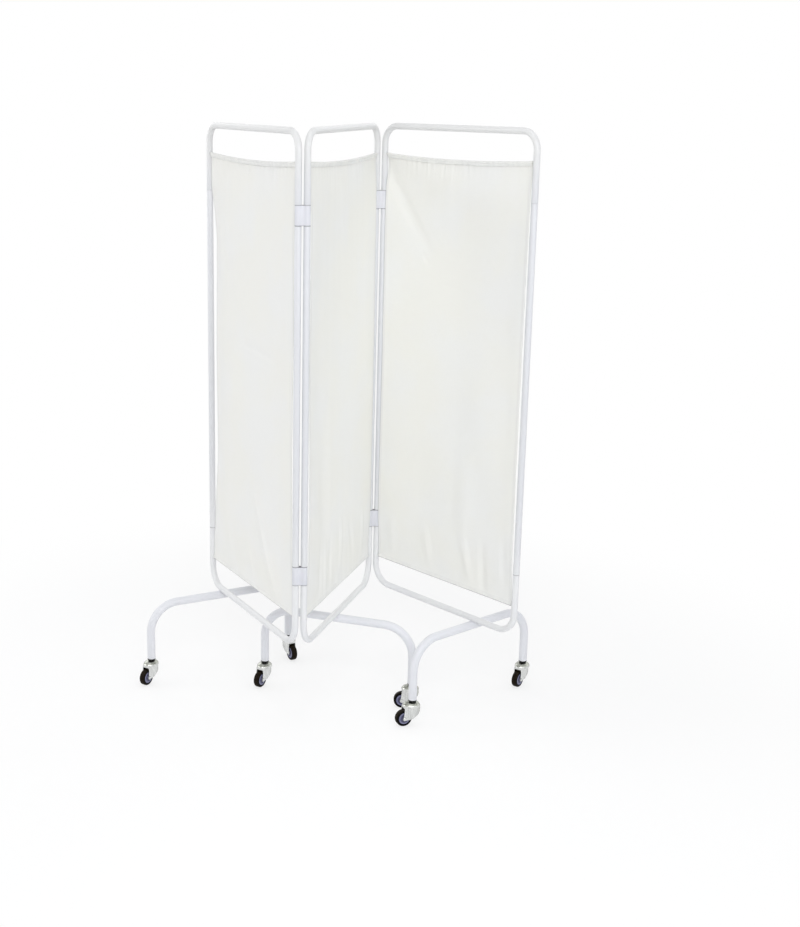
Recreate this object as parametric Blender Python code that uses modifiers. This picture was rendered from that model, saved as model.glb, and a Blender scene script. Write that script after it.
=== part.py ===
# Folding bed screen: three curtained tube panels on castered legs, joined by two-barrel hinge blocks.
# Metres, +Z up. The middle panel runs along +Y, and the other two fold away from it in a zigzag.
import math

import bmesh
import bpy
from mathutils import Vector

# Fits
FIT_GAP = 0.0003              # what touching pieces keep between them
OVERRUN = 0.002               # how far a cutter runs past the face that it opens
WELD_DISTANCE = 0.00002       # corners nearer than this are one corner
SHARP_ANGLE = 40.0            # degrees, edges sharper than this stay crisp

# Frame of one panel: a top bow, a bottom bow and two uprights between them
FRAME_TUBE = 0.019            # outside diameter of the frame tube
PANEL_PITCH = 0.600           # between the centre lines of a panel's uprights
TOP_RAIL_HEIGHT = 1.715       # floor to the centre line of the top rail
BOTTOM_RAIL_HEIGHT = 0.278    # floor to the centre line of the bottom rail
TOP_BEND_RADIUS = 0.050       # centre line
BOTTOM_BEND_RADIUS = 0.062
TOP_BOW_DROP = 0.190          # top rail's centre line down to the ends of its bow
BOTTOM_BOW_RISE = 0.185       # bottom rail's centre line up to the ends of its bow
SPIGOT = 0.013                # diameter of the reduced ends of an upright
SPIGOT_DEPTH = 0.020          # how far a spigot goes into the end of a bow
SPIGOT_CHAMFER = 0.0015
FRAME_SIDES = 12
BEND_STEPS = 5
SPIGOT_BORE_SIDES = 12

# Hinge blocks: two barrels, flush with the tubes, that turn on the spigots
HINGE_PITCH = 0.024           # between the two uprights that a block joins
HINGE_HEIGHT = 0.054
BARREL_STEPS = 8

# How the screen stands: how far each fold is turned from a straight row of panels, in degrees
MIDDLE_HEADING = 90.0
FRONT_FOLD = 133.0
REAR_FOLD = 120.0

# Legs: one wide arch under each panel, set at another place on each so that they nest when folded
LEG_TUBE = 0.0254
LEG_SPAN = 0.480              # between the centre lines of the two feet of an arch
LEG_BEND_RADIUS = 0.090
LEG_SIDES = 12
LEG_BEND_STEPS = 6
LEG_BORE_SIDES = 16
LEFT_LEG_PAST_BEND = 0.001    # end of the outer bottom bend to the left panel's leg
RIGHT_LEG_INSET = 0.167       # outer upright to the right panel's leg

# Curtains: a sheet with a hem at its head and foot, each round a wire
CLOTH = 0.001                 # thickness of the cloth's solid
HEAD_GAP = 0.078              # top rail's centre line down to the curtain's top corners
FOOT_GAP = 0.084              # bottom rail's centre line up to the curtain's lower edge
HEM_DEPTH = 0.0135
HEM_LAYER_GAP = 0.0018        # between the middles of the two layers at the stitching
CURTAIN_INSET = 0.0135        # upright's centre line to the curtain's side edge
CURTAIN_SAG = 0.009           # how far the head hangs down at mid width
CURTAIN_COLUMNS = 18
HEM_ARC_STEPS = 3
CURTAIN_ROW_SHARES = (0.08, 0.24, 0.44, 0.64, 0.82, 0.95)

# Curtain wires
WIRE = 0.0045
WIRE_SEAT_DEPTH = 0.006       # how far a wire's end goes into the wall of a bow
WIRE_SIDES = 8
WIRE_BAYS = 9

# Casters
CASTER_HEIGHT = 0.0727        # floor to the top of the swivel head
TRAIL = 0.028                 # swivel axis to the axle
WHEEL_RADIUS = 0.0255
TREAD_WIDTH = 0.018
TREAD_ROUND = 0.0035
WHEEL_STEPS = 20
HUB_RADIUS = 0.0175
HUB_STEPS = 12
HUB_FACE = 0.0075             # wheel's middle plane to the sunk face of the hub
HUB_RING_INNER_SHARE = 0.72   # raised ring's inner edge, of the hub's radius
HUB_BOSS_RADIUS = 0.0065
AXLE = 0.006
AXLE_HEAD_RADIUS = 0.0048
AXLE_HEAD = 0.0016
AXLE_STEPS = 10
FORK_INNER_WIDTH = 0.0220
FORK_PLATE = 0.0022
HEAD_RADIUS = 0.0225
HEAD_STEPS = 16
FORK_EDGE_ROUND = 0.0030
FORK_EDGE_ANGLE = 60.0        # degrees, edges sharper than this are rounded by the press
FORK_NOSE_RADIUS = 0.0080     # round the axle
FORK_NOSE_FROM = 235.0        # degrees, where the round starts and ends
FORK_NOSE_TO = 370.0
FORK_NOSE_STEPS = 5
STEM = 0.008
STEM_LENGTH = 0.021
COLLAR_HEIGHT = 0.006
COLLAR_RADIUS = 0.0122
PLUG_RADIUS = 0.0097
PLUG_LENGTH = 0.024
PLUG_STEPS = 14
STEM_ROOM = 0.001             # above the stem in its socket

# The swivel head's profile and the fork's side outline. Across: shares of the head's radius.
# Up: shares of the caster's height.
HEAD_PROFILE_SHARES = ((0.56, 1.000), (0.80, 0.975), (0.955, 0.925), (1.0, 0.860))
HEAD_UNDERSIDE_SHARE = 0.800
FORK_FRONT_SHARES = ((-0.90, 0.880), (-0.93, 0.760), (-0.84, 0.640), (-0.50, 0.475), (0.10, 0.300))
FORK_WALL_SHARES = FORK_FRONT_SHARES[1:-1]
FORK_REAR_SHARES = ((1.26, 0.560), (0.86, 0.800), (0.84, 0.880))

# The way each caster trails at rest, in degrees from its panel's own run
NEAR = -1
FAR = 1
CASTER_HEADINGS = {
    ("left", NEAR): -58.5, ("left", FAR): 0.0,
    ("middle", NEAR): 107.0, ("middle", FAR): 168.5,
    ("right", NEAR): -110.0, ("right", FAR): -77.0,
}
SIDE_NAMES = {NEAR: "near", FAR: "far"}

# Folds of the curtains: place and width as shares of the curtain's width, reach as a share of its
# drop, and height as a length. A lean moves the fold across by that share of the width over its reach.
CURTAIN_FOLDS = {
    "left": (
        {"place_share": 0.66, "width_share": 0.085, "top_share": 0.30, "height": 0.0080, "lean_share": 0.05},
        {"place_share": 0.80, "width_share": 0.060, "top_share": 0.42, "height": -0.0065, "lean_share": 0.03},
        {"place_share": 0.40, "width_share": 0.070, "top_share": 0.48, "height": 0.0045, "lean_share": 0.00},
        {"place_share": 0.20, "width_share": 0.080, "top_share": 0.40, "height": -0.0040, "lean_share": -0.02},
    ),
    "middle": (
        {"place_share": 0.30, "width_share": 0.075, "top_share": 0.38, "height": -0.0060, "lean_share": 0.00},
        {"place_share": 0.55, "width_share": 0.065, "top_share": 0.45, "height": 0.0050, "lean_share": 0.02},
        {"place_share": 0.78, "width_share": 0.080, "top_share": 0.35, "height": -0.0045, "lean_share": 0.00},
    ),
    "right": (
        {"place_share": 0.62, "width_share": 0.070, "top_share": 0.50, "height": -0.0065, "lean_share": 0.02},
        {"place_share": 0.74, "width_share": 0.055, "top_share": 0.55, "height": 0.0060, "lean_share": 0.03},
        {"place_share": 0.25, "width_share": 0.090, "top_share": 0.52, "height": 0.0040, "lean_share": 0.00},
    ),
}
# A slack pull from the right panel's upper left corner, down and in
CORNER_PULL = {"start_share": 0.02, "end_share": 0.24, "drop_share": 0.22, "width_share": 0.060, "height": 0.0060}
# The left panel's outer side edge draws in between its corners
LEFT_EDGE_DRAW = 0.010

# Colours: red, green, blue, then roughness and metallic
ENAMEL = (0.83, 0.84, 0.88, 0.28, 0.0)
NYLON = (0.82, 0.83, 0.87, 0.42, 0.0)
COTTON = (0.84, 0.83, 0.79, 0.90, 0.0)
COATED_WIRE = (0.80, 0.80, 0.78, 0.45, 0.0)
BLACK_PLASTIC = (0.02, 0.02, 0.02, 0.45, 0.0)
ZINC = (0.72, 0.72, 0.70, 0.25, 1.0)
RUBBER = (0.03, 0.028, 0.025, 0.55, 0.0)
HUB_GREY = (0.30, 0.33, 0.44, 0.40, 0.0)

# Sizes that follow from those above
frame_radius = FRAME_TUBE / 2
leg_radius = LEG_TUBE / 2
spigot_radius = SPIGOT / 2
spigot_bore = spigot_radius + FIT_GAP
wire_radius = WIRE / 2
stem_radius = STEM / 2
axle_radius = AXLE / 2
axle_height = WHEEL_RADIUS * math.cos(math.pi / WHEEL_STEPS)
wheel_room = FORK_INNER_WIDTH / 2
fork_half_width = wheel_room + FORK_PLATE
top_bow_end = TOP_RAIL_HEIGHT - TOP_BOW_DROP
bottom_bow_end = BOTTOM_RAIL_HEIGHT + BOTTOM_BOW_RISE
leg_height = BOTTOM_RAIL_HEIGHT - frame_radius - FIT_GAP - leg_radius
collar_bottom = CASTER_HEIGHT + FIT_GAP
collar_top = collar_bottom + COLLAR_HEIGHT
leg_end = collar_top + FIT_GAP
hem_radius = wire_radius + FIT_GAP + CLOTH
curtain_head = TOP_RAIL_HEIGHT - HEAD_GAP
curtain_foot = BOTTOM_RAIL_HEIGHT + FOOT_GAP
top_wire_height = curtain_head - CLOTH / 2 - hem_radius
bottom_wire_height = curtain_foot + CLOTH / 2 + hem_radius
curtain_width = PANEL_PITCH - CURTAIN_INSET - CURTAIN_INSET
left_leg_place = BOTTOM_BEND_RADIUS + LEFT_LEG_PAST_BEND
middle_leg_place = PANEL_PITCH / 2
right_leg_place = PANEL_PITCH - RIGHT_LEG_INSET


# Scene and helpers
def start_scene():
    """An empty scene with one collection for the parts and one for cutters."""
    for old in list(bpy.data.objects):
        bpy.data.objects.remove(old)
    made = {}
    for title in ("folding_bed_screen", "cutters"):
        collection = bpy.data.collections.new(title)
        bpy.context.scene.collection.children.link(collection)
        made[title] = collection
    return made["folding_bed_screen"], made["cutters"]


parts, cutters = start_scene()


def link(obj, collection):
    """Move an object that an operator made into one collection."""
    for holder in list(obj.users_collection):
        holder.objects.unlink(obj)
    collection.objects.link(obj)
    return obj


def finish_for(name, look):
    """The named object's own material."""
    material = bpy.data.materials.new(name + "_finish")
    material.use_nodes = True
    shader = material.node_tree.nodes["Principled BSDF"]
    red, green, blue, roughness, metallic = look
    shader.inputs["Base Color"].default_value = (red, green, blue, 1.0)
    shader.inputs["Roughness"].default_value = roughness
    shader.inputs["Metallic"].default_value = metallic
    return material


def add_empty(name, parent, location, turn):
    """A joint's or a group's frame."""
    empty = bpy.data.objects.new(name, None)
    parts.objects.link(empty)
    empty.parent = parent
    empty.location = location
    empty.rotation_euler = (0.0, 0.0, turn)
    empty.empty_display_size = FRAME_TUBE
    return empty


def add_part(name, mesh, parent, look, location=(0.0, 0.0, 0.0), rotation=(0.0, 0.0, 0.0)):
    """One piece of the screen: its own object, mesh copy and material."""
    part = bpy.data.objects.new(name, mesh.copy())
    part.data.name = name
    parts.objects.link(part)
    part.parent = parent
    part.location = location
    part.rotation_euler = rotation
    part.data.materials.clear()
    part.data.materials.append(finish_for(name, look))
    return part


def shade(mesh):
    """Smooth shading that keeps the sharp edges crisp."""
    mesh.shade_smooth()
    mesh.set_sharp_from_angle(angle=math.radians(SHARP_ANGLE))
    return mesh


def baked(obj, cutting=()):
    """Cut an object with the cutters, read it as a mesh, and remove the object and its cutters."""
    for cutter in cutting:
        cut = obj.modifiers.new("cut", "BOOLEAN")
        cut.operation = "DIFFERENCE"
        cut.solver = "EXACT"
        cut.object = cutter
    bpy.context.view_layer.update()
    shape = obj.evaluated_get(bpy.context.evaluated_depsgraph_get())
    mesh = bpy.data.meshes.new_from_object(shape)
    mesh.transform(obj.matrix_world)
    bpy.data.objects.remove(obj)
    for cutter in cutting:
        bpy.data.objects.remove(cutter)
    return shade(mesh)


def welded(mesh):
    """Join the loose caps of a mesh that came from a curve."""
    work = bmesh.new()
    work.from_mesh(mesh)
    bmesh.ops.remove_doubles(work, verts=work.verts, dist=WELD_DISTANCE)
    work.to_mesh(mesh)
    work.free()
    return mesh


def mesh_object(name, mesh, collection):
    """An object around a mesh."""
    obj = bpy.data.objects.new(name, mesh)
    collection.objects.link(obj)
    return obj


def cutter_rod(radius, length, location, sides, rotation=(0.0, 0.0, 0.0)):
    """A round cutter about its middle."""
    bpy.ops.mesh.primitive_cylinder_add(
        radius=radius, depth=length, vertices=sides, location=location, rotation=rotation)
    rod = link(bpy.context.object, cutters)
    rod.hide_render = True
    rod.display_type = "WIRE"
    return rod


def tube_mesh(name, points, radius, sides):
    """A bent tube along points, as a closed mesh."""
    curve = bpy.data.curves.new(name, "CURVE")
    curve.dimensions = "3D"
    curve.bevel_depth = radius
    curve.bevel_resolution = sides // 2 - 2
    curve.use_fill_caps = True
    spline = curve.splines.new("POLY")
    spline.points.add(len(points) - 1)
    for knot, point in zip(spline.points, points):
        knot.co = (point[0], point[1], point[2], 1.0)
    obj = bpy.data.objects.new(name, curve)
    parts.objects.link(obj)
    return welded(baked(obj))


def turned_mesh(name, profile, steps):
    """A turned shape from (radius, height) points that run down its outer side."""
    outline = bpy.data.meshes.new(name)
    corners = [(radius, 0.0, height) for radius, height in profile]
    edges = [(index, index + 1) for index in range(len(profile) - 1)]
    outline.from_pydata(corners, edges, [])
    obj = mesh_object(name, outline, parts)
    screw = obj.modifiers.new("turn", "SCREW")
    screw.steps = steps
    screw.render_steps = steps
    screw.use_merge_vertices = True
    screw.merge_threshold = WELD_DISTANCE
    return baked(obj)


def outline_mesh(name, loops, half_depth):
    """A flat outline, with holes if there is more than one loop, given a thickness along Z."""
    curve = bpy.data.curves.new(name, "CURVE")
    curve.dimensions = "2D"
    curve.fill_mode = "BOTH"
    curve.extrude = half_depth
    for loop in loops:
        spline = curve.splines.new("POLY")
        spline.points.add(len(loop) - 1)
        spline.use_cyclic_u = True
        for knot, point in zip(spline.points, loop):
            knot.co = (point[0], point[1], 0.0, 1.0)
    obj = bpy.data.objects.new(name, curve)
    parts.objects.link(obj)
    return welded(baked(obj))


def arc(centre, radius, first, last, steps):
    """Points on an arc, angles in degrees, both ends included."""
    points = []
    for step in range(steps + 1):
        angle = math.radians(first + (last - first) * step / steps)
        points.append((centre[0] + radius * math.cos(angle), centre[1] + radius * math.sin(angle)))
    return points


# Frame pieces, in a panel's own frame: X from its left upright to its right one, Z up
def top_bow_mesh():
    """The top rail with both bends and legs, bored for the spigots and the curtain wire."""
    bend_height = TOP_RAIL_HEIGHT - TOP_BEND_RADIUS
    flat = [(0.0, top_bow_end)]
    flat += arc((TOP_BEND_RADIUS, bend_height), TOP_BEND_RADIUS, 180, 90, BEND_STEPS)
    flat += arc((PANEL_PITCH - TOP_BEND_RADIUS, bend_height), TOP_BEND_RADIUS, 90, 0, BEND_STEPS)
    flat += [(PANEL_PITCH, top_bow_end)]
    tube = tube_mesh("top_bow", [(x, 0.0, z) for x, z in flat], frame_radius, FRAME_SIDES)
    return bored_bow(tube, top_bow_end, 1, top_wire_height)


def bottom_bow_mesh():
    """The bottom rail with both bends and legs, bored for the spigots and the curtain wire."""
    bend_height = BOTTOM_RAIL_HEIGHT + BOTTOM_BEND_RADIUS
    flat = [(0.0, bottom_bow_end)]
    flat += arc((BOTTOM_BEND_RADIUS, bend_height), BOTTOM_BEND_RADIUS, 180, 270, BEND_STEPS)
    flat += arc((PANEL_PITCH - BOTTOM_BEND_RADIUS, bend_height), BOTTOM_BEND_RADIUS, 270, 360, BEND_STEPS)
    flat += [(PANEL_PITCH, bottom_bow_end)]
    tube = tube_mesh("bottom_bow", [(x, 0.0, z) for x, z in flat], frame_radius, FRAME_SIDES)
    return bored_bow(tube, bottom_bow_end, -1, bottom_wire_height)


def bored_bow(tube, end_height, inward, wire_height):
    """Bore both ends of a bow for spigots, and its inner walls for the ends of a curtain wire."""
    bow = mesh_object("bow", tube, parts)
    bore_depth = SPIGOT_DEPTH + SPIGOT_CHAMFER
    cutting = []
    for x, inner_side in ((0.0, 1), (PANEL_PITCH, -1)):
        bore_middle = end_height + inward * (bore_depth - OVERRUN) / 2
        cutting.append(cutter_rod(
            spigot_bore, bore_depth + OVERRUN, (x, 0.0, bore_middle), SPIGOT_BORE_SIDES))
        seat_length = WIRE_SEAT_DEPTH + FIT_GAP + OVERRUN
        seat_middle = x + inner_side * (frame_radius + OVERRUN - seat_length / 2)
        cutting.append(cutter_rod(
            wire_radius + FIT_GAP, seat_length, (seat_middle, 0.0, wire_height), WIRE_SIDES,
            (0.0, math.pi / 2, 0.0)))
    return baked(bow, cutting)


def upright_mesh(hinged):
    """An upright with reduced ends. A hinged one is shorter, and its ends go through the blocks too."""
    block_room = HINGE_HEIGHT + FIT_GAP if hinged else 0.0
    shoulder_top = top_bow_end - FIT_GAP - block_room
    shoulder_bottom = bottom_bow_end + FIT_GAP + block_room
    tip_top = top_bow_end + SPIGOT_DEPTH
    tip_bottom = bottom_bow_end - SPIGOT_DEPTH
    tip_radius = spigot_radius - SPIGOT_CHAMFER
    profile = [
        (0.0, tip_top), (tip_radius, tip_top), (spigot_radius, tip_top - SPIGOT_CHAMFER),
        (spigot_radius, shoulder_top), (frame_radius, shoulder_top),
        (frame_radius, shoulder_bottom), (spigot_radius, shoulder_bottom),
        (spigot_radius, tip_bottom + SPIGOT_CHAMFER), (tip_radius, tip_bottom), (0.0, tip_bottom),
    ]
    return turned_mesh("upright", profile, FRAME_SIDES)


def leg_mesh():
    """An arch across the panel, its feet bored for the caster sockets. Y runs across the panel."""
    half_span = LEG_SPAN / 2
    bend_height = leg_height - LEG_BEND_RADIUS
    flat = [(-half_span, leg_end)]
    flat += arc((LEG_BEND_RADIUS - half_span, bend_height), LEG_BEND_RADIUS, 180, 90, LEG_BEND_STEPS)
    flat += arc((half_span - LEG_BEND_RADIUS, bend_height), LEG_BEND_RADIUS, 90, 0, LEG_BEND_STEPS)
    flat += [(half_span, leg_end)]
    arch = mesh_object(
        "arch", tube_mesh("arch", [(0.0, y, z) for y, z in flat], leg_radius, LEG_SIDES), parts)
    bore_depth = PLUG_LENGTH + FIT_GAP
    bore_middle = leg_end + (bore_depth - OVERRUN) / 2
    cutting = [
        cutter_rod(PLUG_RADIUS + FIT_GAP, bore_depth + OVERRUN, (0.0, y, bore_middle), LEG_BORE_SIDES)
        for y in (-half_span, half_span)]
    return baked(arch, cutting)


def hinge_mesh():
    """A block with two bored barrels and solid web between them. Its middle stands at the origin."""
    half_pitch = HINGE_PITCH / 2
    outer = arc((half_pitch, 0.0), frame_radius, -90, 90, BARREL_STEPS)
    outer += arc((-half_pitch, 0.0), frame_radius, 90, 270, BARREL_STEPS)
    bores = []
    for x in (-half_pitch, half_pitch):
        bores.append(arc((x, 0.0), spigot_bore, 0, 360, SPIGOT_BORE_SIDES)[:-1])
    return shade(outline_mesh("hinge", [outer] + bores, HINGE_HEIGHT / 2))


# Curtains
def head_sag(x):
    """How far the curtain's head hangs below its corners at a place across the panel."""
    share = min(max((x - CURTAIN_INSET) / curtain_width, 0.0), 1.0)
    return CURTAIN_SAG * 4 * share * (1 - share)


def wire_mesh(height, sagging):
    """A curtain wire with its two ends seated in the walls of a bow."""
    end = frame_radius - WIRE_SEAT_DEPTH
    places = [end]
    places += [CURTAIN_INSET + curtain_width * bay / WIRE_BAYS for bay in range(WIRE_BAYS + 1)]
    places += [PANEL_PITCH - end]
    points = []
    for x in places:
        drop = head_sag(x) if sagging else 0.0
        points.append((x, 0.0, height - drop))
    return tube_mesh("wire", points, wire_radius, WIRE_SIDES)


def bump(distance, width):
    """A smooth ridge one unit high, falling to nothing at its width."""
    share = abs(distance) / width
    return math.cos(share * math.pi / 2) ** 2 if share < 1.0 else 0.0


def fold_depth(panel, across, down):
    """How far the cloth stands off its plane at shares of its width and drop."""
    depth = 0.0
    for fold in CURTAIN_FOLDS[panel]:
        reach = (down - fold["top_share"]) / (1 - fold["top_share"])
        if reach <= 0.0:
            continue
        centre = fold["place_share"] + fold["lean_share"] * reach
        depth += fold["height"] * math.sin(reach * math.pi / 2) * bump(across - centre, fold["width_share"])
    if panel == "right" and down < CORNER_PULL["drop_share"]:
        reach = down / CORNER_PULL["drop_share"]
        centre = CORNER_PULL["start_share"] + (CORNER_PULL["end_share"] - CORNER_PULL["start_share"]) * reach
        depth += CORNER_PULL["height"] * math.sin(reach * math.pi) * bump(
            across - centre, CORNER_PULL["width_share"])
    return depth


def hem_section():
    """Half of a hem, from its loose edge round the wire to its stitching: (across, from the wire)."""
    layer = HEM_LAYER_GAP / 2
    fall = HEM_DEPTH - hem_radius
    return [(-layer, -fall)] + arc((0.0, 0.0), hem_radius, 180, 0, HEM_ARC_STEPS) + [(layer, -fall)]


def curtain_column(panel, across):
    """The middle of the cloth at one place across it: points from the head hem to the foot hem."""
    x = CURTAIN_INSET + curtain_width * across
    head = top_wire_height - head_sag(x)
    section = hem_section()
    column = [(x, y, head + z) for y, z in section]
    layer = HEM_LAYER_GAP / 2
    first = column[-1][2]
    last = bottom_wire_height - section[-1][1]
    for down in CURTAIN_ROW_SHARES:
        draw = LEFT_EDGE_DRAW * math.sin(math.pi * down) * (1 - across) ** 4 if panel == "left" else 0.0
        ends = min(1.0, (1 - down) / (1 - CURTAIN_ROW_SHARES[-2]))
        depth = layer + fold_depth(panel, across, down) * ends
        column.append((x + draw, depth, first + (last - first) * down))
    column += [(x, y, bottom_wire_height - z) for y, z in reversed(section)]
    return column


def curtain_mesh(panel):
    """The sheet with both hems, drawn across column by column and then given its thickness."""
    work = bmesh.new()
    first = [work.verts.new(point) for point in curtain_column(panel, 0.0)]
    edges = [work.edges.new(pair) for pair in zip(first, first[1:])]
    for index in range(1, CURTAIN_COLUMNS + 1):
        grown = bmesh.ops.extrude_edge_only(work, edges=edges)["geom"]
        verts = [item for item in grown if isinstance(item, bmesh.types.BMVert)]
        edges = [item for item in grown if isinstance(item, bmesh.types.BMEdge)]
        old = curtain_column(panel, (index - 1) / CURTAIN_COLUMNS)
        new = curtain_column(panel, index / CURTAIN_COLUMNS)
        for vert in verts:
            nearest = min(range(len(old)), key=lambda row: (vert.co - Vector(old[row])).length)
            vert.co = new[nearest]
    bmesh.ops.recalc_face_normals(work, faces=work.faces)
    mesh = bpy.data.meshes.new(panel + "_curtain")
    work.to_mesh(mesh)
    work.free()
    sheet = mesh_object("sheet", mesh, parts)
    solidify = sheet.modifiers.new("cloth", "SOLIDIFY")
    solidify.thickness = CLOTH
    solidify.offset = 0.0
    return baked(sheet)


# Caster pieces, in a swivel's own frame: the stem stands at the origin and X is the way it trails
def socket_mesh():
    """The plastic plug in a leg's foot, with its collar and the hole for the stem."""
    plug_top = collar_top + PLUG_LENGTH
    hole_top = collar_bottom + STEM_LENGTH + STEM_ROOM
    hole = stem_radius + FIT_GAP
    profile = [
        (0.0, plug_top), (PLUG_RADIUS, plug_top), (PLUG_RADIUS, collar_top), (COLLAR_RADIUS, collar_top),
        (COLLAR_RADIUS, collar_bottom), (hole, collar_bottom), (hole, hole_top), (0.0, hole_top),
    ]
    return turned_mesh("socket", profile, PLUG_STEPS)


def fork_mesh():
    """The pressed fork: a domed round head with its stem, and two plates that reach back to the axle."""
    head = [(0.0, CASTER_HEIGHT + STEM_LENGTH), (stem_radius, CASTER_HEIGHT + STEM_LENGTH)]
    head += [(stem_radius, CASTER_HEIGHT)]
    head += [(HEAD_RADIUS * across, CASTER_HEIGHT * up) for across, up in HEAD_PROFILE_SHARES]
    underside = CASTER_HEIGHT * HEAD_UNDERSIDE_SHARE
    head += [(HEAD_RADIUS * HEAD_PROFILE_SHARES[-2][0], underside), (0.0, underside)]
    dome = mesh_object("dome", turned_mesh("dome", head, HEAD_STEPS), cutters)

    outer = [(HEAD_RADIUS * across, CASTER_HEIGHT * up) for across, up in FORK_FRONT_SHARES]
    outer += arc((TRAIL, axle_height), FORK_NOSE_RADIUS, FORK_NOSE_FROM, FORK_NOSE_TO, FORK_NOSE_STEPS)
    outer += [(HEAD_RADIUS * across, CASTER_HEIGHT * up) for across, up in FORK_REAR_SHARES]
    yoke = mesh_object("yoke", outline_mesh("yoke", [outer], fork_half_width), parts)
    yoke.rotation_euler = (math.pi / 2, 0.0, 0.0)
    edges = yoke.modifiers.new("pressed edges", "BEVEL")
    edges.width = FORK_EDGE_ROUND
    edges.segments = 1
    edges.limit_method = "ANGLE"
    edges.angle_limit = math.radians(FORK_EDGE_ANGLE)
    join = yoke.modifiers.new("head", "BOOLEAN")
    join.operation = "UNION"
    join.solver = "EXACT"
    join.object = dome

    wall = [(HEAD_RADIUS * across + FORK_PLATE, CASTER_HEIGHT * up) for across, up in FORK_WALL_SHARES]
    wall_foot = wall[-1][1]
    low = -OVERRUN
    back = TRAIL + WHEEL_RADIUS
    roof = underside - FORK_PLATE
    inner = [(wall[0][0], roof)] + wall + [(-HEAD_RADIUS, wall_foot), (-HEAD_RADIUS, low)]
    inner += [(back, low), (back, roof)]
    pocket = mesh_object("pocket", outline_mesh("pocket", [inner], wheel_room), cutters)
    pocket.rotation_euler = (math.pi / 2, 0.0, 0.0)
    axle_hole = cutter_rod(
        axle_radius + FIT_GAP, (fork_half_width + OVERRUN) * 2, (TRAIL, 0.0, axle_height),
        AXLE_STEPS, (math.pi / 2, 0.0, 0.0))
    mesh = baked(yoke, (pocket, axle_hole))
    bpy.data.objects.remove(dome)
    return mesh


def tyre_mesh():
    """The tyre, turned about Z, its shoulders rounded."""
    half = TREAD_WIDTH / 2
    bore = HUB_RADIUS + FIT_GAP
    shoulder = WHEEL_RADIUS - TREAD_ROUND
    profile = [
        (bore, half), (shoulder, half), (WHEEL_RADIUS, half - TREAD_ROUND),
        (WHEEL_RADIUS, TREAD_ROUND - half), (shoulder, -half), (bore, -half), (bore, half)]
    return turned_mesh("tyre", profile, WHEEL_STEPS)


def hub_mesh():
    """The hub: a rim ring, a sunk face and a boss that runs between the fork's plates."""
    ring = TREAD_WIDTH / 2
    ring_inner = HUB_RADIUS * HUB_RING_INNER_SHARE
    boss = wheel_room - FIT_GAP
    bore = axle_radius + FIT_GAP
    upper = [
        (bore, boss), (HUB_BOSS_RADIUS, boss), (HUB_BOSS_RADIUS, HUB_FACE), (ring_inner, HUB_FACE),
        (ring_inner, ring), (HUB_RADIUS, ring)]
    lower = [(radius, -height) for radius, height in reversed(upper)]
    return turned_mesh("hub", upper + lower + upper[:1], HUB_STEPS)


def axle_mesh():
    """The riveted axle with its two heads, turned about Z."""
    seat = fork_half_width + FIT_GAP
    tip = seat + AXLE_HEAD
    upper = [
        (0.0, tip), (AXLE_HEAD_RADIUS, tip - AXLE_HEAD / 2), (AXLE_HEAD_RADIUS, seat), (axle_radius, seat)]
    lower = [(radius, -height) for radius, height in reversed(upper)]
    return turned_mesh("axle", upper + lower, AXLE_STEPS)


# Assembly
def add_caster(panel, side, frame, place, meshes):
    """A socket in a leg's foot, the fork that swivels in it, and the wheel on its axle."""
    title = panel + "_" + SIDE_NAMES[side]
    foot = (place, side * LEG_SPAN / 2, 0.0)
    add_part(title + "_socket", meshes["socket"], frame, BLACK_PLASTIC, foot)
    swivel = add_empty(title + "_swivel", frame, foot, math.radians(CASTER_HEADINGS[(panel, side)]))
    add_part(title + "_fork", meshes["fork"], swivel, ZINC)
    across = (math.pi / 2, 0.0, 0.0)
    axle_place = (TRAIL, 0.0, axle_height)
    add_part(title + "_axle", meshes["axle"], swivel, ZINC, axle_place, across)
    wheel = add_empty(title + "_wheel", swivel, axle_place, 0.0)
    flat_down = (math.pi / 2, math.pi / 2 + math.pi / WHEEL_STEPS, 0.0)
    add_part(title + "_tyre", meshes["tyre"], wheel, RUBBER, (0.0, 0.0, 0.0), flat_down)
    add_part(title + "_hub", meshes["hub"], wheel, HUB_GREY, (0.0, 0.0, 0.0), flat_down)


def add_panel(panel, frame, start, leg_place, uprights, meshes):
    """One panel: bows, uprights, leg, curtain, wires and casters. Start is its left upright."""
    left_end = (start, 0.0, 0.0)
    add_part(panel + "_top_bow", meshes["top_bow"], frame, ENAMEL, left_end)
    add_part(panel + "_bottom_bow", meshes["bottom_bow"], frame, ENAMEL, left_end)
    for (title, kind), x in zip(uprights, (start, start + PANEL_PITCH)):
        add_part(panel + "_" + title + "_upright", meshes[kind], frame, ENAMEL, (x, 0.0, 0.0))
    add_part(panel + "_leg", meshes["leg"], frame, ENAMEL, (start + leg_place, 0.0, 0.0))
    add_part(panel + "_top_wire", meshes["top_wire"], frame, COATED_WIRE, left_end)
    add_part(panel + "_bottom_wire", meshes["bottom_wire"], frame, COATED_WIRE, left_end)
    add_part(panel + "_curtain", curtain_mesh(panel), frame, COTTON, left_end)
    for side in (NEAR, FAR):
        add_caster(panel, side, frame, start + leg_place, meshes)


def add_hinges(title, frame, x, meshes):
    """The upper and the lower block of one fold."""
    half = HINGE_HEIGHT / 2
    upper = top_bow_end - FIT_GAP - half
    lower = bottom_bow_end + FIT_GAP + half
    add_part(title + "_upper_hinge", meshes["hinge"], frame, NYLON, (x, 0.0, upper))
    add_part(title + "_lower_hinge", meshes["hinge"], frame, NYLON, (x, 0.0, lower))


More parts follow.
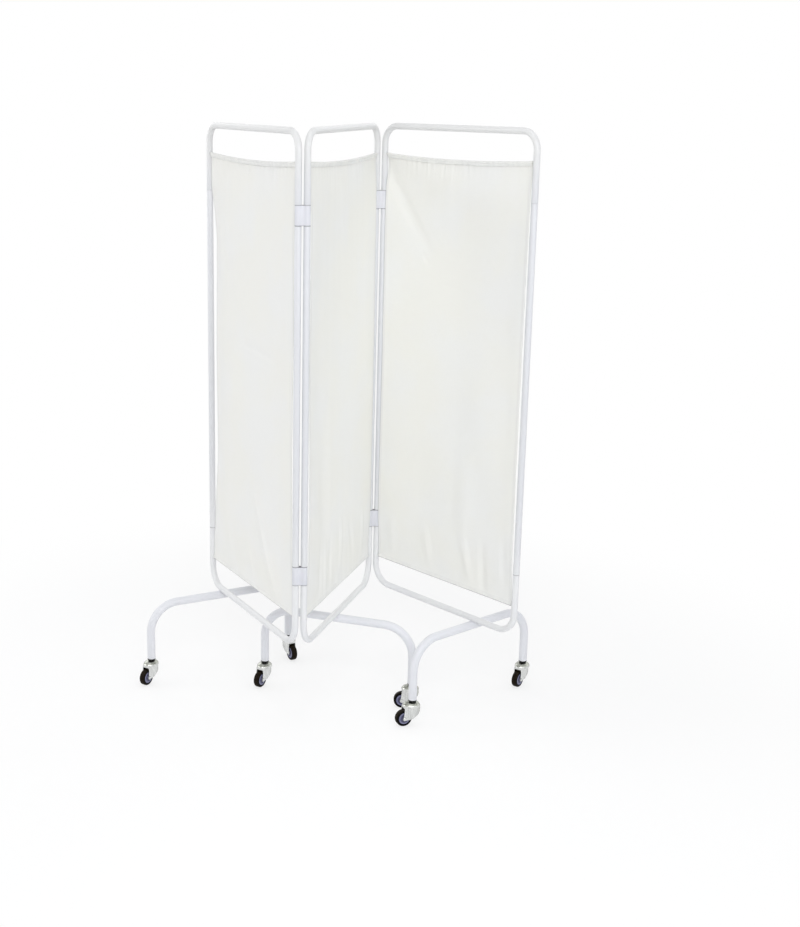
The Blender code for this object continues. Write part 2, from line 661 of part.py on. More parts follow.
def centre_on_floor(root):
    """Move the whole screen so that the middle of its footprint stands at the origin."""
    bpy.context.view_layer.update()
    low = Vector((math.inf, math.inf))
    high = Vector((-math.inf, -math.inf))
    for part in parts.objects:
        if part.type != "MESH":
            continue
        for vert in part.data.vertices:
            place = part.matrix_world @ vert.co
            low = Vector((min(low.x, place.x), min(low.y, place.y)))
            high = Vector((max(high.x, place.x), max(high.y, place.y)))
    middle = (low + high) / 2
    root.location = (-middle.x, -middle.y, 0.0)
    bpy.context.view_layer.update()


def build():
    """The whole screen at rest."""
    meshes = {
        "top_bow": top_bow_mesh(),
        "bottom_bow": bottom_bow_mesh(),
        "plain": upright_mesh(False),
        "hinged": upright_mesh(True),
        "leg": leg_mesh(),
        "top_wire": wire_mesh(top_wire_height, True),
        "bottom_wire": wire_mesh(bottom_wire_height, False),
        "hinge": hinge_mesh(),
        "socket": socket_mesh(),
        "fork": fork_mesh(),
        "tyre": tyre_mesh(),
        "hub": hub_mesh(),
        "axle": axle_mesh(),
    }
    front_turn = -math.radians(FRONT_FOLD) / 2
    rear_turn = -math.radians(REAR_FOLD) / 2
    half_pitch = HINGE_PITCH / 2
    root = add_empty("screen", None, (0.0, 0.0, 0.0), 0.0)
    middle = add_empty("middle_panel", root, (0.0, 0.0, 0.0), math.radians(MIDDLE_HEADING))
    front = add_empty("front_hinges", middle, (0.0, 0.0, 0.0), front_turn)
    left = add_empty("left_panel", front, (-HINGE_PITCH, 0.0, 0.0), front_turn)
    rear = add_empty("rear_hinges", middle, (PANEL_PITCH, 0.0, 0.0), rear_turn)
    right = add_empty("right_panel", rear, (HINGE_PITCH, 0.0, 0.0), rear_turn)
    outer = ("outer", "plain")
    inner = ("inner", "hinged")
    add_panel("left", left, -PANEL_PITCH, left_leg_place, (outer, inner), meshes)
    add_panel(
        "middle", middle, 0.0, middle_leg_place, (("front", "hinged"), ("rear", "hinged")), meshes)
    add_panel("right", right, 0.0, right_leg_place, (inner, outer), meshes)
    add_hinges("front", front, -half_pitch, meshes)
    add_hinges("rear", rear, half_pitch, meshes)
    centre_on_floor(root)


build()
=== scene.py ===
# Folding bed screen: finishes, cloth, casters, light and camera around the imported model
from math import atan2, cos, exp, hypot, pi, radians, sin, sqrt, tau

import bmesh
import bpy
from mathutils import Matrix, Vector, noise


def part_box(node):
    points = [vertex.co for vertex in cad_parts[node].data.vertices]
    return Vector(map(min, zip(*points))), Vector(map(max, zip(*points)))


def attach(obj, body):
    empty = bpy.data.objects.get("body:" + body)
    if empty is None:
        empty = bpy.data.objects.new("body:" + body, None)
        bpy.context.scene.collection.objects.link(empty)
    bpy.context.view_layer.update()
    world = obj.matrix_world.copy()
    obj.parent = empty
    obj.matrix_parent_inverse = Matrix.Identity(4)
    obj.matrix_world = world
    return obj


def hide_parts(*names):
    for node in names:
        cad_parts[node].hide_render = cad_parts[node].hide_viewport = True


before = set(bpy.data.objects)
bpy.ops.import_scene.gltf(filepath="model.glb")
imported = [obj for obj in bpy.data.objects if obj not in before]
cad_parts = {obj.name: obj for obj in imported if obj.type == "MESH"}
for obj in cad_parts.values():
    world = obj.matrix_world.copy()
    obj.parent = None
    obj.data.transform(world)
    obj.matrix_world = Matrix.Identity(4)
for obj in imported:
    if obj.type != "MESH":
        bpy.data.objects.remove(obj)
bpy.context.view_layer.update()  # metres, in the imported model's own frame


# picking and shaping, as by hand

def take(piece):  # make this the only piece picked
    bpy.ops.object.select_all(action="DESELECT")
    piece.select_set(True)
    bpy.context.view_layer.objects.active = piece


def newPiece(name, add, **settings):  # a primitive at its size and place, which goes into its mesh
    bpy.ops.object.select_all(action="DESELECT")
    add(**settings)
    piece = bpy.context.object
    piece.name = name
    piece.data.name = name
    bpy.ops.object.transform_apply(location=True, rotation=True, scale=True)
    return piece


def disc(name, sides, radius, **place):
    return newPiece(name, bpy.ops.mesh.primitive_circle_add, vertices=sides, radius=radius,
                    fill_type="NGON", **place)


def roundBar(name, sides, radius, depth, **place):
    return newPiece(name, bpy.ops.mesh.primitive_cylinder_add, vertices=sides, radius=radius,
                    depth=depth, **place)


def startEdit(piece, kind="VERT"):  # in edit mode, with everything picked
    take(piece)
    bpy.ops.object.mode_set(mode="EDIT")
    bpy.ops.mesh.select_mode(type=kind)
    bpy.ops.mesh.select_all(action="SELECT")


def stopEdit():
    bpy.ops.object.mode_set(mode="OBJECT")


def pick(piece, kind, test):  # in edit mode, pick what passes a test of its place
    bpy.ops.mesh.select_mode(type=kind)
    bpy.ops.mesh.select_all(action="DESELECT")
    work = bmesh.from_edit_mesh(piece.data)
    if kind == "VERT":
        found = [corner for corner in work.verts if test(corner.co)]
    elif kind == "EDGE":  # both its corners have to pass
        found = [edge for edge in work.edges if all(test(corner.co) for corner in edge.verts)]
    else:
        found = [face for face in work.faces if test(face.calc_center_median(), face.normal)]
    for item in found:
        item.select_set(True)
    work.select_flush_mode()
    bmesh.update_edit_mesh(piece.data)


def pull(shift):  # extrude what is picked
    bpy.ops.mesh.extrude_region_move(TRANSFORM_OT_translate={"value": shift})


def outwards():  # in edit mode, close the seams and turn the faces out
    bpy.ops.mesh.select_all(action="SELECT")
    bpy.ops.mesh.remove_doubles(threshold=0.00001)
    bpy.ops.mesh.normals_make_consistent(inside=False)


def change(piece, kind, **settings):  # a modifier, applied at once
    step = piece.modifiers.new(kind, kind)
    for name, value in settings.items():
        setattr(step, name, value)
    take(piece)
    bpy.ops.object.modifier_apply(modifier=step.name)


def combine(piece, other, way):  # way is UNION, DIFFERENCE or INTERSECT
    change(piece, "BOOLEAN", operation=way, solver="EXACT", object=other)
    bpy.data.objects.remove(other)


def roundEdges(piece, width, steps, sharper):  # rounds what is sharper than this many degrees
    change(piece, "BEVEL", width=width, segments=steps, limit_method="ANGLE",
           angle_limit=radians(sharper), harden_normals=False)


def smooth(piece, sharper=35):  # edges sharper than this many degrees stay
    take(piece)
    bpy.ops.object.shade_smooth_by_angle(angle=radians(sharper))
    return piece


def keepPlaces(piece):  # the piece's own coordinates, for patterns that follow its shape
    places = piece.data.attributes.new("onPiece", "FLOAT_VECTOR", "POINT")
    for corner, place in zip(piece.data.vertices, places.data):
        place.vector = corner.co


def setDown(piece, where):  # put a piece at its place and make that place its mesh's own
    piece.matrix_world = where
    take(piece)
    bpy.ops.object.transform_apply(location=True, rotation=True, scale=True)


def fit(piece, body, look, *nodes):  # its finish, the nodes that it stands for, and its body
    slotName, finish = finishes[look]
    piece.data.materials.clear()
    piece.data.materials.append(finish)
    if nodes:
        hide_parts(*nodes)
    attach(piece, body)


def dress(model, name, where, body, look, *nodes):  # a copy of a model, set down and finished
    piece = model.copy()
    piece.data = model.data.copy()
    piece.name = name
    piece.data.name = name
    bpy.context.scene.collection.objects.link(piece)
    setDown(piece, where)
    fit(piece, body, look, *nodes)


def putAway(models):
    for model in models:
        bpy.data.objects.remove(model)


def drawLine(name, points):  # one corner, extruded from point to point
    line = newPiece(name, bpy.ops.mesh.primitive_plane_add, size=0.001, location=points[0])
    startEdit(line)
    bpy.ops.mesh.merge(type="CENTER")
    bpy.ops.mesh.select_all(action="SELECT")
    for last, point in zip(points, points[1:]):
        pull(Vector(point) - Vector(last))
    return line


def turned(name, profile, steps):  # a lathe shape about Z from (radius, height) points
    shape = drawLine(name, [(radius, 0, height) for radius, height in profile])
    bpy.ops.mesh.select_all(action="SELECT")
    bpy.ops.mesh.spin(steps=steps, angle=tau, center=(0, 0, 0), axis=(0, 0, 1))
    outwards()
    stopEdit()
    return shape


def mirrored(upper):  # a lathe profile and its mirror image under it
    return upper + [(radius, -height) for radius, height in reversed(upper)]


def arc(across, up, radius, first, last, steps):  # points on an arc, angles in degrees
    turns = [radians(first + (last - first) * step / steps) for step in range(steps + 1)]
    return [(across + radius * cos(turn), up + radius * sin(turn)) for turn in turns]


def middleOf(node):
    low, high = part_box(node)
    return (low + high) / 2


def planTurn(start, end):  # the turn about Z that lays X from start to end
    return Matrix.Rotation(atan2(end.y - start.y, end.x - start.x), 4, "Z")


# shader maths that reads as plain maths

def operator(way, turnedRound=False):  # a method that adds one Math node
    def act(self, other=0.0):
        return self.maths(way, *((other, self) if turnedRound else (self, other)))
    return act


class Plug:
    def __init__(self, tree, socket):
        self.tree = tree
        self.socket = socket

    def node(self, kind, settings=None, values=None, output=0):
        made = self.tree.nodes.new(kind)
        for name, value in (settings or {}).items():
            setattr(made, name, value)
        for name, value in (values or {}).items():
            if isinstance(value, Plug):
                self.tree.links.new(value.socket, made.inputs[name])
            else:
                made.inputs[name].default_value = value
        return Plug(self.tree, made.outputs[output])

    def maths(self, way, first, second=0.0):
        return self.node("ShaderNodeMath", {"operation": way}, {0: first, 1: second})

    __add__ = __radd__ = operator("ADD")
    __mul__ = __rmul__ = operator("MULTIPLY")
    __sub__, __rsub__ = operator("SUBTRACT"), operator("SUBTRACT", True)
    __truediv__, __abs__ = operator("DIVIDE"), operator("ABSOLUTE")
    sine, fraction, most = operator("SINE"), operator("FRACT"), operator("MAXIMUM")

    def distance(self, other):  # from the middle, by two of the coordinates
        return self.maths("SQRT", self * self + other * other)

    def ease(self, low, high):  # 0 below low, 1 above high, smooth between
        return self.node("ShaderNodeMapRange", {"interpolation_type": "SMOOTHSTEP"},
                         {"Value": self, "From Min": low, "From Max": high})

    def near(self, place, reach):  # 1 at a place, falling to 0 at its reach
        return 1 - abs(self - place).ease(0.0, reach)

    def split(self):
        return [self.node("ShaderNodeSeparateXYZ", {}, {0: self}, index) for index in range(3)]

    def stretch(self, across, along, up):
        return self.node("ShaderNodeVectorMath", {"operation": "MULTIPLY"}, {0: self, 1: (across, along, up)})

    def cloud(self, scale, detail):
        return self.node("ShaderNodeTexNoise", {}, {"Vector": self, "Scale": scale, "Detail": detail})

    def patches(self, scale, detail, low, high):  # soft patches, from 0 to 1
        return self.cloud(scale, detail).ease(low, high)

    def spread(self, least, more):
        return least + self * more

    def tint(self, first, second):  # this plug's value mixes the first colour towards the second
        pair = [colour if isinstance(colour, Plug) else (*colour, 1) for colour in (first, second)]
        return self.node("ShaderNodeMix", {"data_type": "RGBA"}, {0: self, 6: pair[0], 7: pair[1]}, 2)


def newFinish(name, **fixed):  # fixed values go on the shader's own sockets
    finish = bpy.data.materials.new(name)
    finish.use_nodes = True
    tree = finish.node_tree
    shader = tree.nodes["Principled BSDF"]
    for socket, value in fixed.items():
        shader.inputs[socket.replace("_", " ")].default_value = value
    return finish, shader, Plug(tree, tree.nodes.new("ShaderNodeTexCoord").outputs["Object"])


def feed(shader, plug, socket):
    plug.tree.links.new(plug.socket, shader.inputs[socket])


def plainRays(tree):  # 1 for what the camera, gloss and glass see
    path = tree.nodes.new("ShaderNodeLightPath")
    seen = Plug(tree, path.outputs["Is Camera Ray"]).most(Plug(tree, path.outputs["Is Glossy Ray"]))
    return seen.most(Plug(tree, path.outputs["Is Transmission Ray"]))


# camera: the photo's angle, and light

print("camera and light")
cameraSet = {
    "fromHinge": (1.330, -3.551),  # in plan, from the front hinge block's middle
    "height": 1.831,
    "pitch": -14.949,  # from level, then roll and turn left of +Y, in degrees
    "roll": -0.321,
    "turn": 21.117,
    "lens": 55.06,
    "shift": (0.12, 0.0),
}


def placeCamera():
    size = cameraSet
    hinge = middleOf("front_upper_hinge")
    lens = bpy.data.cameras.new("photoCamera")
    lens.sensor_width = 36
    lens.lens = size["lens"]
    lens.shift_x, lens.shift_y = size["shift"]
    lens.clip_end = 200
    camera = bpy.data.objects.new("photoCamera", lens)
    bpy.context.scene.collection.objects.link(camera)
    camera.location = (hinge.x + size["fromHinge"][0], hinge.y + size["fromHinge"][1], size["height"])
    camera.rotation_euler = [radians(turn) for turn in (90 + size["pitch"], size["roll"], size["turn"])]
    bpy.context.scene.camera = camera


placeCamera()

lampSet = {  # place, size, power and colour
    "front": ((1.3, -4.0, 3.0), 2.0, 64, (1.0, 1.0, 1.0)),
    "frontRight": ((2.6, -3.2, 2.2), 2.0, 29, (0.96, 0.98, 1.0)),
    "right": ((3.9, -1.4, 2.0), 2.4, 14, (0.96, 0.98, 1.0)),
    "left": ((-4.1, -1.2, 2.0), 2.4, 48, (1.0, 0.995, 0.985)),
    "top": ((0.0, -0.4, 5.0), 3.0, 38, (1.0, 1.0, 1.0)),
    "back": ((0.6, 4.2, 3.0), 3.2, 19, (0.98, 0.99, 1.0)),
    "backLeft": ((-3.4, 2.8, 2.2), 2.6, 28, (0.98, 0.99, 1.0)),
    "backRight": ((3.4, 3.0, 2.2), 2.6, 19, (0.98, 0.99, 1.0)),
}
lampAim = (0, 0, 0.9)


def hangLamps():
    for name, (place, size, power, colour) in lampSet.items():
        light = bpy.data.lights.new(name + "Lamp", "AREA")
        light.energy = power
        light.size = size
        light.color = colour
        holder = bpy.data.objects.new(name + "Lamp", light)
        bpy.context.scene.collection.objects.link(holder)
        holder.location = place
        aim = Vector(lampAim) - Vector(place)
        holder.rotation_euler = aim.to_track_quat("-Z", "Y").to_euler()


hangLamps()

studio = {
    "roomTint": (0.96, 0.975, 1.0), "roomGlow": 0.40,
    "floorSize": 60.0, "floorLevel": -0.0005, "floorWhite": 0.93,
    "floorShare": 0.305,  # how much of the lit floor the camera sees near the screen
    "shadowReach": (0.9, 2.0),  # over this distance it goes over to plain white
}


def lightRoom():  # a white room: the camera, gloss and glass see plain white
    world = bpy.context.scene.world or bpy.data.worlds.new("room")
    bpy.context.scene.world = world
    world.use_nodes = True
    tree = world.node_tree
    tree.nodes.clear()
    seen = plainRays(tree)
    dim, plain = (seen.node("ShaderNodeBackground", {}, {"Color": (*colour, 1), "Strength": glow})
                  for colour, glow in ((studio["roomTint"], studio["roomGlow"]), ((1, 1, 1), 1.0)))
    both = seen.node("ShaderNodeMixShader", {}, {0: seen, 1: dim, 2: plain})
    tree.links.new(both.socket, tree.nodes.new("ShaderNodeOutputWorld").inputs["Surface"])


lightRoom()


def layFloor():
    floor = newPiece("studioFloor", bpy.ops.mesh.primitive_plane_add,
                     size=studio["floorSize"], location=(0, 0, studio["floorLevel"]))
    finish, shader, place = newFinish("floorWhite", Roughness=0.9, Specular_IOR_Level=0.0)
    tree = finish.node_tree
    seen = plainRays(tree)
    feed(shader, seen.tint([studio["floorWhite"]] * 3, (1, 1, 1)), "Base Color")
    glow = seen.node("ShaderNodeEmission", {}, {"Color": (1, 1, 1, 1), "Strength": 1.0})
    lit = Plug(tree, shader.outputs["BSDF"])
    across, along, _ = place.split()
    away = across.distance(along).ease(*studio["shadowReach"])
    plain = (1 - studio["floorShare"]) + away * studio["floorShare"]
    both = seen.node("ShaderNodeMixShader", {}, {0: seen * plain, 1: lit, 2: glow})
    tree.links.new(both.socket, tree.nodes["Material Output"].inputs["Surface"])
    floor.data.materials.append(finish)


layFloor()


# finishes: what is laid over a colour has its own colour and share, patches are (scale, detail, from, to) of
# a noise, clouds and grain its (scale, detail), rough is (least, more) and bump (depth, strength)

print("finishes")


def paint(colour, look, **masks):  # each mask lays its own colour over, as strongly as its share
    for name, mask in masks.items():
        over, share = look[name]
        colour = (mask * share).tint(colour, over)
    return colour


def cover(shader, colour, rough, height=None, depth=0.0, strength=0.0):  # height from 0 to 1, depth in metres
    feed(shader, colour, "Base Color")
    feed(shader, rough, "Roughness")
    if height is not None:
        feed(shader, height.node("ShaderNodeBump", {}, {
            "Height": height, "Distance": depth, "Strength": strength}), "Normal")


def paintedSeamShade(height, seams, reach):  # painted shade in the gaps at the seams; seams are (height, how dark)
    marks = [height.near(seam, reach) * dark for seam, dark in seams]
    seamShade = marks[0]
    for mark in marks[1:]:
        seamShade = seamShade.most(mark)
    return seamShade


def enamel(name, seams, low):  # white stove enamel on tube, with painted light by height: the low white near the floor, a bluer white in the middle and a neutral one at the top
    look = {
        "middle": ((0.722, 0.728, 0.754), 1), "high": ((0.750, 0.751, 0.749), 1),
        "middleFrom": (0.36, 0.70), "highFrom": (1.50, 1.68),  # heights over which a white of painted light takes over
        "cool": ((0.716, 0.724, 0.760), 0.35), "coolPatches": (5.0, 3.0, 0.42, 0.66),
        "dust": ((0.55, 0.54, 0.53), 0.06), "dustPatches": (24, 4.0, 0.62, 0.80), "dustUpTo": (0.15, 0.45),
        # the seam colour is painted shade in the gaps where parts meet
        "seam": ((0.05, 0.05, 0.065), 1), "seamReach": 0.0017, "seamRough": 0.3,
        "rough": (0.34, 0.08), "roughClouds": (14, 3.0), "peel": (420, 2.0), "bump": (0.000012, 0.6),
    }
    finish, shader, place = newFinish(
        name, IOR=1.48, Specular_IOR_Level=0.4, Coat_Weight=0.12, Coat_Roughness=0.2)
    height = place.split()[2]
    high = height.ease(*look["highFrom"])
    seamShade = paintedSeamShade(height, seams, look["seamReach"])
    colour = paint(
        low, look, middle=height.ease(*look["middleFrom"]), high=high,
        cool=place.patches(*look["coolPatches"]) * (1 - high),
        dust=place.patches(*look["dustPatches"]) * (1 - height.ease(*look["dustUpTo"])), seam=seamShade)
    rough = place.cloud(*look["roughClouds"]).spread(*look["rough"]) + seamShade * look["seamRough"]
    cover(shader, colour, rough, place.cloud(*look["peel"]), *look["bump"])
    return finish


def nylon(seams):  # smooth moulded blocks, a little duller than the tubes
    look = {
        "plain": (0.700, 0.706, 0.756), "pale": ((0.725, 0.729, 0.773), 1), "patches": (26, 3.0, 0.3, 0.7),
        # the seam colour is painted shade in the gaps where the block meets the tubes
        "seam": ((0.04, 0.04, 0.055), 0.8), "seamReach": 0.0016,
        "rough": (0.36, 0.10), "roughClouds": (90, 2.0), "grain": (900, 2.0), "bump": (0.00001, 0.5),
    }
    finish, shader, place = newFinish("hingeNylon", IOR=1.5, Specular_IOR_Level=0.4)
    seamShade = paintedSeamShade(place.split()[2], [(seam, 1) for seam in seams], look["seamReach"])
    colour = paint(look["plain"], look, pale=place.patches(*look["patches"]), seam=seamShade)
    rough = place.cloud(*look["roughClouds"]).spread(*look["rough"])
    cover(shader, colour, rough, place.cloud(*look["grain"]), *look["bump"])
    return finish


clothSet = {
    "panelPitch": 0.600, "inset": 0.0135,  # upright's centre line to the cloth's side edge
    "topWire": 1.63295, "bottomWire": 0.36605,  # centre lines of the wires, at the side edges
    "sag": 0.009,  # of the head at mid width
    "hemRound": 0.00355,  # middle of the cloth round the wire
    "hemDepth": 0.0135, "sideHem": 0.010, "layerGap": 0.0018,
    "thick": 0.0010, "sideThin": 0.6,  # between the side hems the cloth has this share of its thickness
    "columns": 176, "hemSteps": 12, "firstRow": 0.0012, "rowGrowth": 1.16, "rowGap": 0.0078,
    "thread": 0.0009, "stitch": 0.0032, "seamLine": 0.0007,
}
clothSet["width"] = clothSet["panelPitch"] - 2 * clothSet["inset"]
clothSet["fall"] = clothSet["hemDepth"] - clothSet["hemRound"]
clothSet["hemLength"] = 2 * clothSet["fall"] + pi * clothSet["hemRound"]
clothSet["body"] = clothSet["topWire"] - clothSet["bottomWire"] - 2 * clothSet["fall"]
clothSet["length"] = clothSet["body"] + 2 * clothSet["hemLength"]


def cotton():  # plain-woven off-white cloth with sewn hems, drawn in the cloth's own UV
    # this grey darkens slubs and the weave, and is the painted shade of the sunk seam lines
    yarnGreyAndShade = (0.815, 0.810, 0.774)
    look = {
        "white": (0.895, 0.891, 0.851), "cool": ((0.890, 0.892, 0.877), 1), "patches": (4.0, 3.0, 0.38, 0.64),
        "slub": (yarnGreyAndShade, 0.20), "slubs": (900, 2.0), "slubLong": 0.04, "slubFrom": (0.42, 0.66),
        "gap": (yarnGreyAndShade, 0.10), "crossing": 0.25,
        "double": ((0.775, 0.775, 0.764), 1),  # painted shade of the hem rolls, their puckers and the side hems
        "headShare": 0.60, "footShare": 0.40, "edgeShare": 0.35, "edgeFade": (0.006, 0.013),
        "hemFade": (0.004, 0.001), "hemPatches": (55, 3.0, 0.35, 0.65), "hemLeast": 0.45,
        # fold is painted shade under the foot hem's roll
        "fold": ((0.42, 0.42, 0.42), 0.80), "foldReach": 0.003, "foldFront": 0.002,
        # sunk paints shade along the sewn seam lines
        "sunk": (yarnGreyAndShade, 0.25), "sewn": ((0.70, 0.70, 0.68), 0.40), "dash": (0.5, 0.36),
        "seamIn": 0.0016, "sideSeamIn": 0.002, "rough": (0.82, 0.12), "bump": (0.0004, 0.55),
    }
    finish, shader, place = newFinish(
        "curtainCotton", IOR=1.45, Specular_IOR_Level=0.25, Sheen_Weight=0.12, Sheen_Roughness=0.5)
    flat = place.node("ShaderNodeUVMap", {"uv_map": "flat"})
    across, along, _ = flat.split()
    turns = pi / clothSet["thread"]
    warp, weft = (across * turns).sine(), (along * turns).sine()
    over = (warp * weft).ease(-look["crossing"], look["crossing"])
    weave = over * abs(warp) + (1 - over) * abs(weft)
    slub = flat.stretch(1, look["slubLong"], 1).cloud(*look["slubs"]) * 0.5
    slub = slub + flat.stretch(look["slubLong"], 1, 1).cloud(*look["slubs"]) * 0.5
    width, length, headEnd = (clothSet[part] for part in ("width", "length", "hemLength"))
    footEnd = length - headEnd
    out, back = look["hemFade"]
    head = (1 - along.ease(headEnd - out, headEnd + back)) * look["headShare"]
    foot = along.ease(footEnd - back, footEnd + out) * look["footShare"]
    least = look["hemLeast"]
    uneven = flat.stretch(1, 0.3, 1).patches(*look["hemPatches"]).spread(least, 1 - least)
    near, far = look["edgeFade"]
    edge = (1 - across.ease(near, far)).most(across.ease(width - far, width - near)) * look["edgeShare"]
    line, inside = clothSet["seamLine"], clothSet["sideHem"] - look["sideSeamIn"]
    seam = along.near(headEnd - look["seamIn"], line).most(along.near(footEnd + look["seamIn"], line))
    sideSeam = across.near(inside, line).most(across.near(width - inside, line))
    dash, sideDash = ((way / clothSet["stitch"]).fraction().near(*look["dash"]) for way in (across, along))
    sewn, sunk = (seam * dash).most(sideSeam * sideDash), seam.most(sideSeam)
    # the head and foot hems get painted shade in patches like puckers, and the side hems get it along their
    # width
    colour = paint(
        look["white"], look, cool=flat.patches(*look["patches"]), slub=slub.ease(*look["slubFrom"]),
        gap=1 - weave, double=(head.most(foot) * uneven).most(edge),
        fold=along.near(length - headEnd / 2 - look["foldFront"], look["foldReach"]),  # painted shade on the foot hem's lowest edge
        sunk=sunk, sewn=sewn)
    height = weave * 0.22 + slub * 0.25 + sewn * 0.6 - sunk * 0.5
    cover(shader, colour, slub.spread(*look["rough"]), height, *look["bump"])
    return finish


def wireCoat():  # white plastic on a wound spring wire
    look = {"dull": (0.74, 0.74, 0.72), "white": ((0.82, 0.82, 0.80), 1), "patches": (90, 2.0, 0.3, 0.7),
            "rough": (0.40, 0.15)}
    finish, shader, place = newFinish("wireCoat", IOR=1.48)
    tone = place.patches(*look["patches"])
    cover(shader, paint(look["dull"], look, white=tone), tone.spread(*look["rough"]))
    return finish


def onPiece(place):  # the piece's own coordinates, kept before it was set down
    return place.node("ShaderNodeAttribute", {"attribute_name": "onPiece"}, output="Vector")


def zinc():  # bright zinc on pressed steel, with painted dark reflection where it faces up, down or back
    paintedReflectionGrey = (0.29, 0.30, 0.26)
    look = {
        "bright": (0.74, 0.75, 0.74), "dull": ((0.60, 0.61, 0.60), 1), "rolled": (210, 3.0, 0.34, 0.68),
        "up": (paintedReflectionGrey, 0.85), "upFrom": (0.10, 0.75), "down": (paintedReflectionGrey, 0.7), "downFrom": (0.2, 0.8),
        "back": (paintedReflectionGrey, 0.55), "backAt": (-0.023, 0.016),
        "stain": ((0.30, 0.28, 0.23), 0.35), "stainPatches": (70, 5.0, 0.60, 0.80), "stainRough": 0.15,
        "rough": (0.24, 0.06), "grain": (500, 2.0), "bump": (0.00003, 0.4),
    }
    finish, shader, place = newFinish("forkZinc", Metallic=1.0)
    up = place.node("ShaderNodeNewGeometry", output="Normal").split()[2]
    rolled = onPiece(place).stretch(1, 1, 0.12).patches(*look["rolled"])
    stain = place.patches(*look["stainPatches"])
    # where it faces up or down and on the back wall, painted dark reflection is laid over
    colour = paint(look["bright"], look, dull=rolled, up=up.ease(*look["upFrom"]),
                   back=onPiece(place).split()[0].near(*look["backAt"]),
                   down=(0 - up).ease(*look["downFrom"]), stain=stain)
    rough = rolled.spread(*look["rough"]) + stain * look["stainRough"]
    cover(shader, colour, rough, rolled * 0.3 + place.cloud(*look["grain"]) * 0.7, *look["bump"])
    return finish


def rubber():  # black rubber, browner and dustier on the tread
    look = {
        "side": (0.002, 0.002, 0.0024), "tread": ((0.008, 0.005, 0.002), 1), "treadFrom": (0.0224, 0.0240),
        "dust": ((0.038, 0.026, 0.012), 1), "dustShare": 0.35, "dustPatches": (160, 4.0, 0.50, 0.74),
        "dustRough": 0.6, "rough": (0.42, 0.10), "roughClouds": (400, 2.0),
        "grain": (700, 3.0), "bump": (0.00006, 0.5),
    }
    finish, shader, place = newFinish("tyreRubber", IOR=1.4, Specular_IOR_Level=0.10)
    across, _, up = onPiece(place).split()
    tread = across.distance(up).ease(*look["treadFrom"])
    dust = place.patches(*look["dustPatches"]) * tread * look["dustShare"]
    rough = place.cloud(*look["roughClouds"]).spread(*look["rough"]) + dust * look["dustRough"]
    colour = paint(look["side"], look, tread=tread, dust=dust)
    cover(shader, colour, rough, place.cloud(*look["grain"]), *look["bump"])
    return finish


def hubGrey():  # blue-grey moulded plastic, with painted shade in the recess and in its inner corners
    look = {
        "rim": (0.175, 0.176, 0.300), "pale": ((0.215, 0.216, 0.335), 1), "patches": (140, 3.0, 0.35, 0.68),
        "deep": ((0.040, 0.041, 0.095), 0.75), "recess": (0.0074, 0.0084),
        "grime": ((0.02, 0.02, 0.03), 1), "grimeShare": 0.6, "grimeRough": 0.2,
        "corners": ((0.0066, 0.0014), (0.0125, 0.0010), (0.0173, 0.0008)),  # radius and reach of the painted corner shade
        "rough": (0.34, 0.10), "rings": 0.0011, "grain": (700, 2.0), "bump": (0.00003, 0.5),
    }
    finish, shader, place = newFinish("hubPlastic", IOR=1.5)
    across, side, up = onPiece(place).split()
    radius = across.distance(up)
    tone = place.patches(*look["patches"])
    inner, middle, outer = (radius.near(*corner) for corner in look["corners"])
    grime = inner.most(middle).most(outer) * look["grimeShare"]
    # the recess and the inner corners get painted shade
    colour = paint(look["rim"], look, pale=tone, deep=1 - abs(side).ease(*look["recess"]), grime=grime)
    rings = (radius * (tau / look["rings"])).sine()
    cover(shader, colour, tone.spread(*look["rough"]) + grime * look["grimeRough"],
          rings * 0.3 + place.cloud(*look["grain"]) * 0.7, *look["bump"])
    return finish


def collarBlack():  # black moulded plug and collar
    look = {"black": (0.004, 0.004, 0.0045), "worn": ((0.010, 0.010, 0.011), 1),
            "patches": (260, 3.0, 0.4, 0.7), "rough": (0.40, 0.16), "grain": (1100, 2.0),
            "bump": (0.00004, 0.5)}
    finish, shader, place = newFinish("collarPlastic", IOR=1.45, Specular_IOR_Level=0.35)
    tone = place.patches(*look["patches"])
    cover(shader, paint(look["black"], look, worn=tone), tone.spread(*look["rough"]),
          place.cloud(*look["grain"]), *look["bump"])
    return finish


bowEnds = {"top": 1.525, "bottom": 0.463}
legFoot = 0.0793
blockHeight = 0.054
fitGap = 0.0003
blockEnds = [end for level in (bowEnds["top"], bowEnds["bottom"] + blockHeight + 2 * fitGap)
             for end in (level - fitGap, level - fitGap - blockHeight)]
paintedLowWhite = {"rail": (0.805, 0.808, 0.813), "leg": (0.778, 0.785, 0.822)}  # painted light: the enamel's lighter white near the floor
seamDark = {"bow": (0.12, 0.30), "plain": (0.10, 0.65), "hinged": (0.75, 0.75), "leg": 0.3}  # how dark the painted seam shade is, upper and lower


def tubeSeams(kind, inset):  # where a tube's parts meet, and how dark the painted shade there is
    return list(zip((bowEnds["top"] - inset, bowEnds["bottom"] + inset), seamDark[kind]))


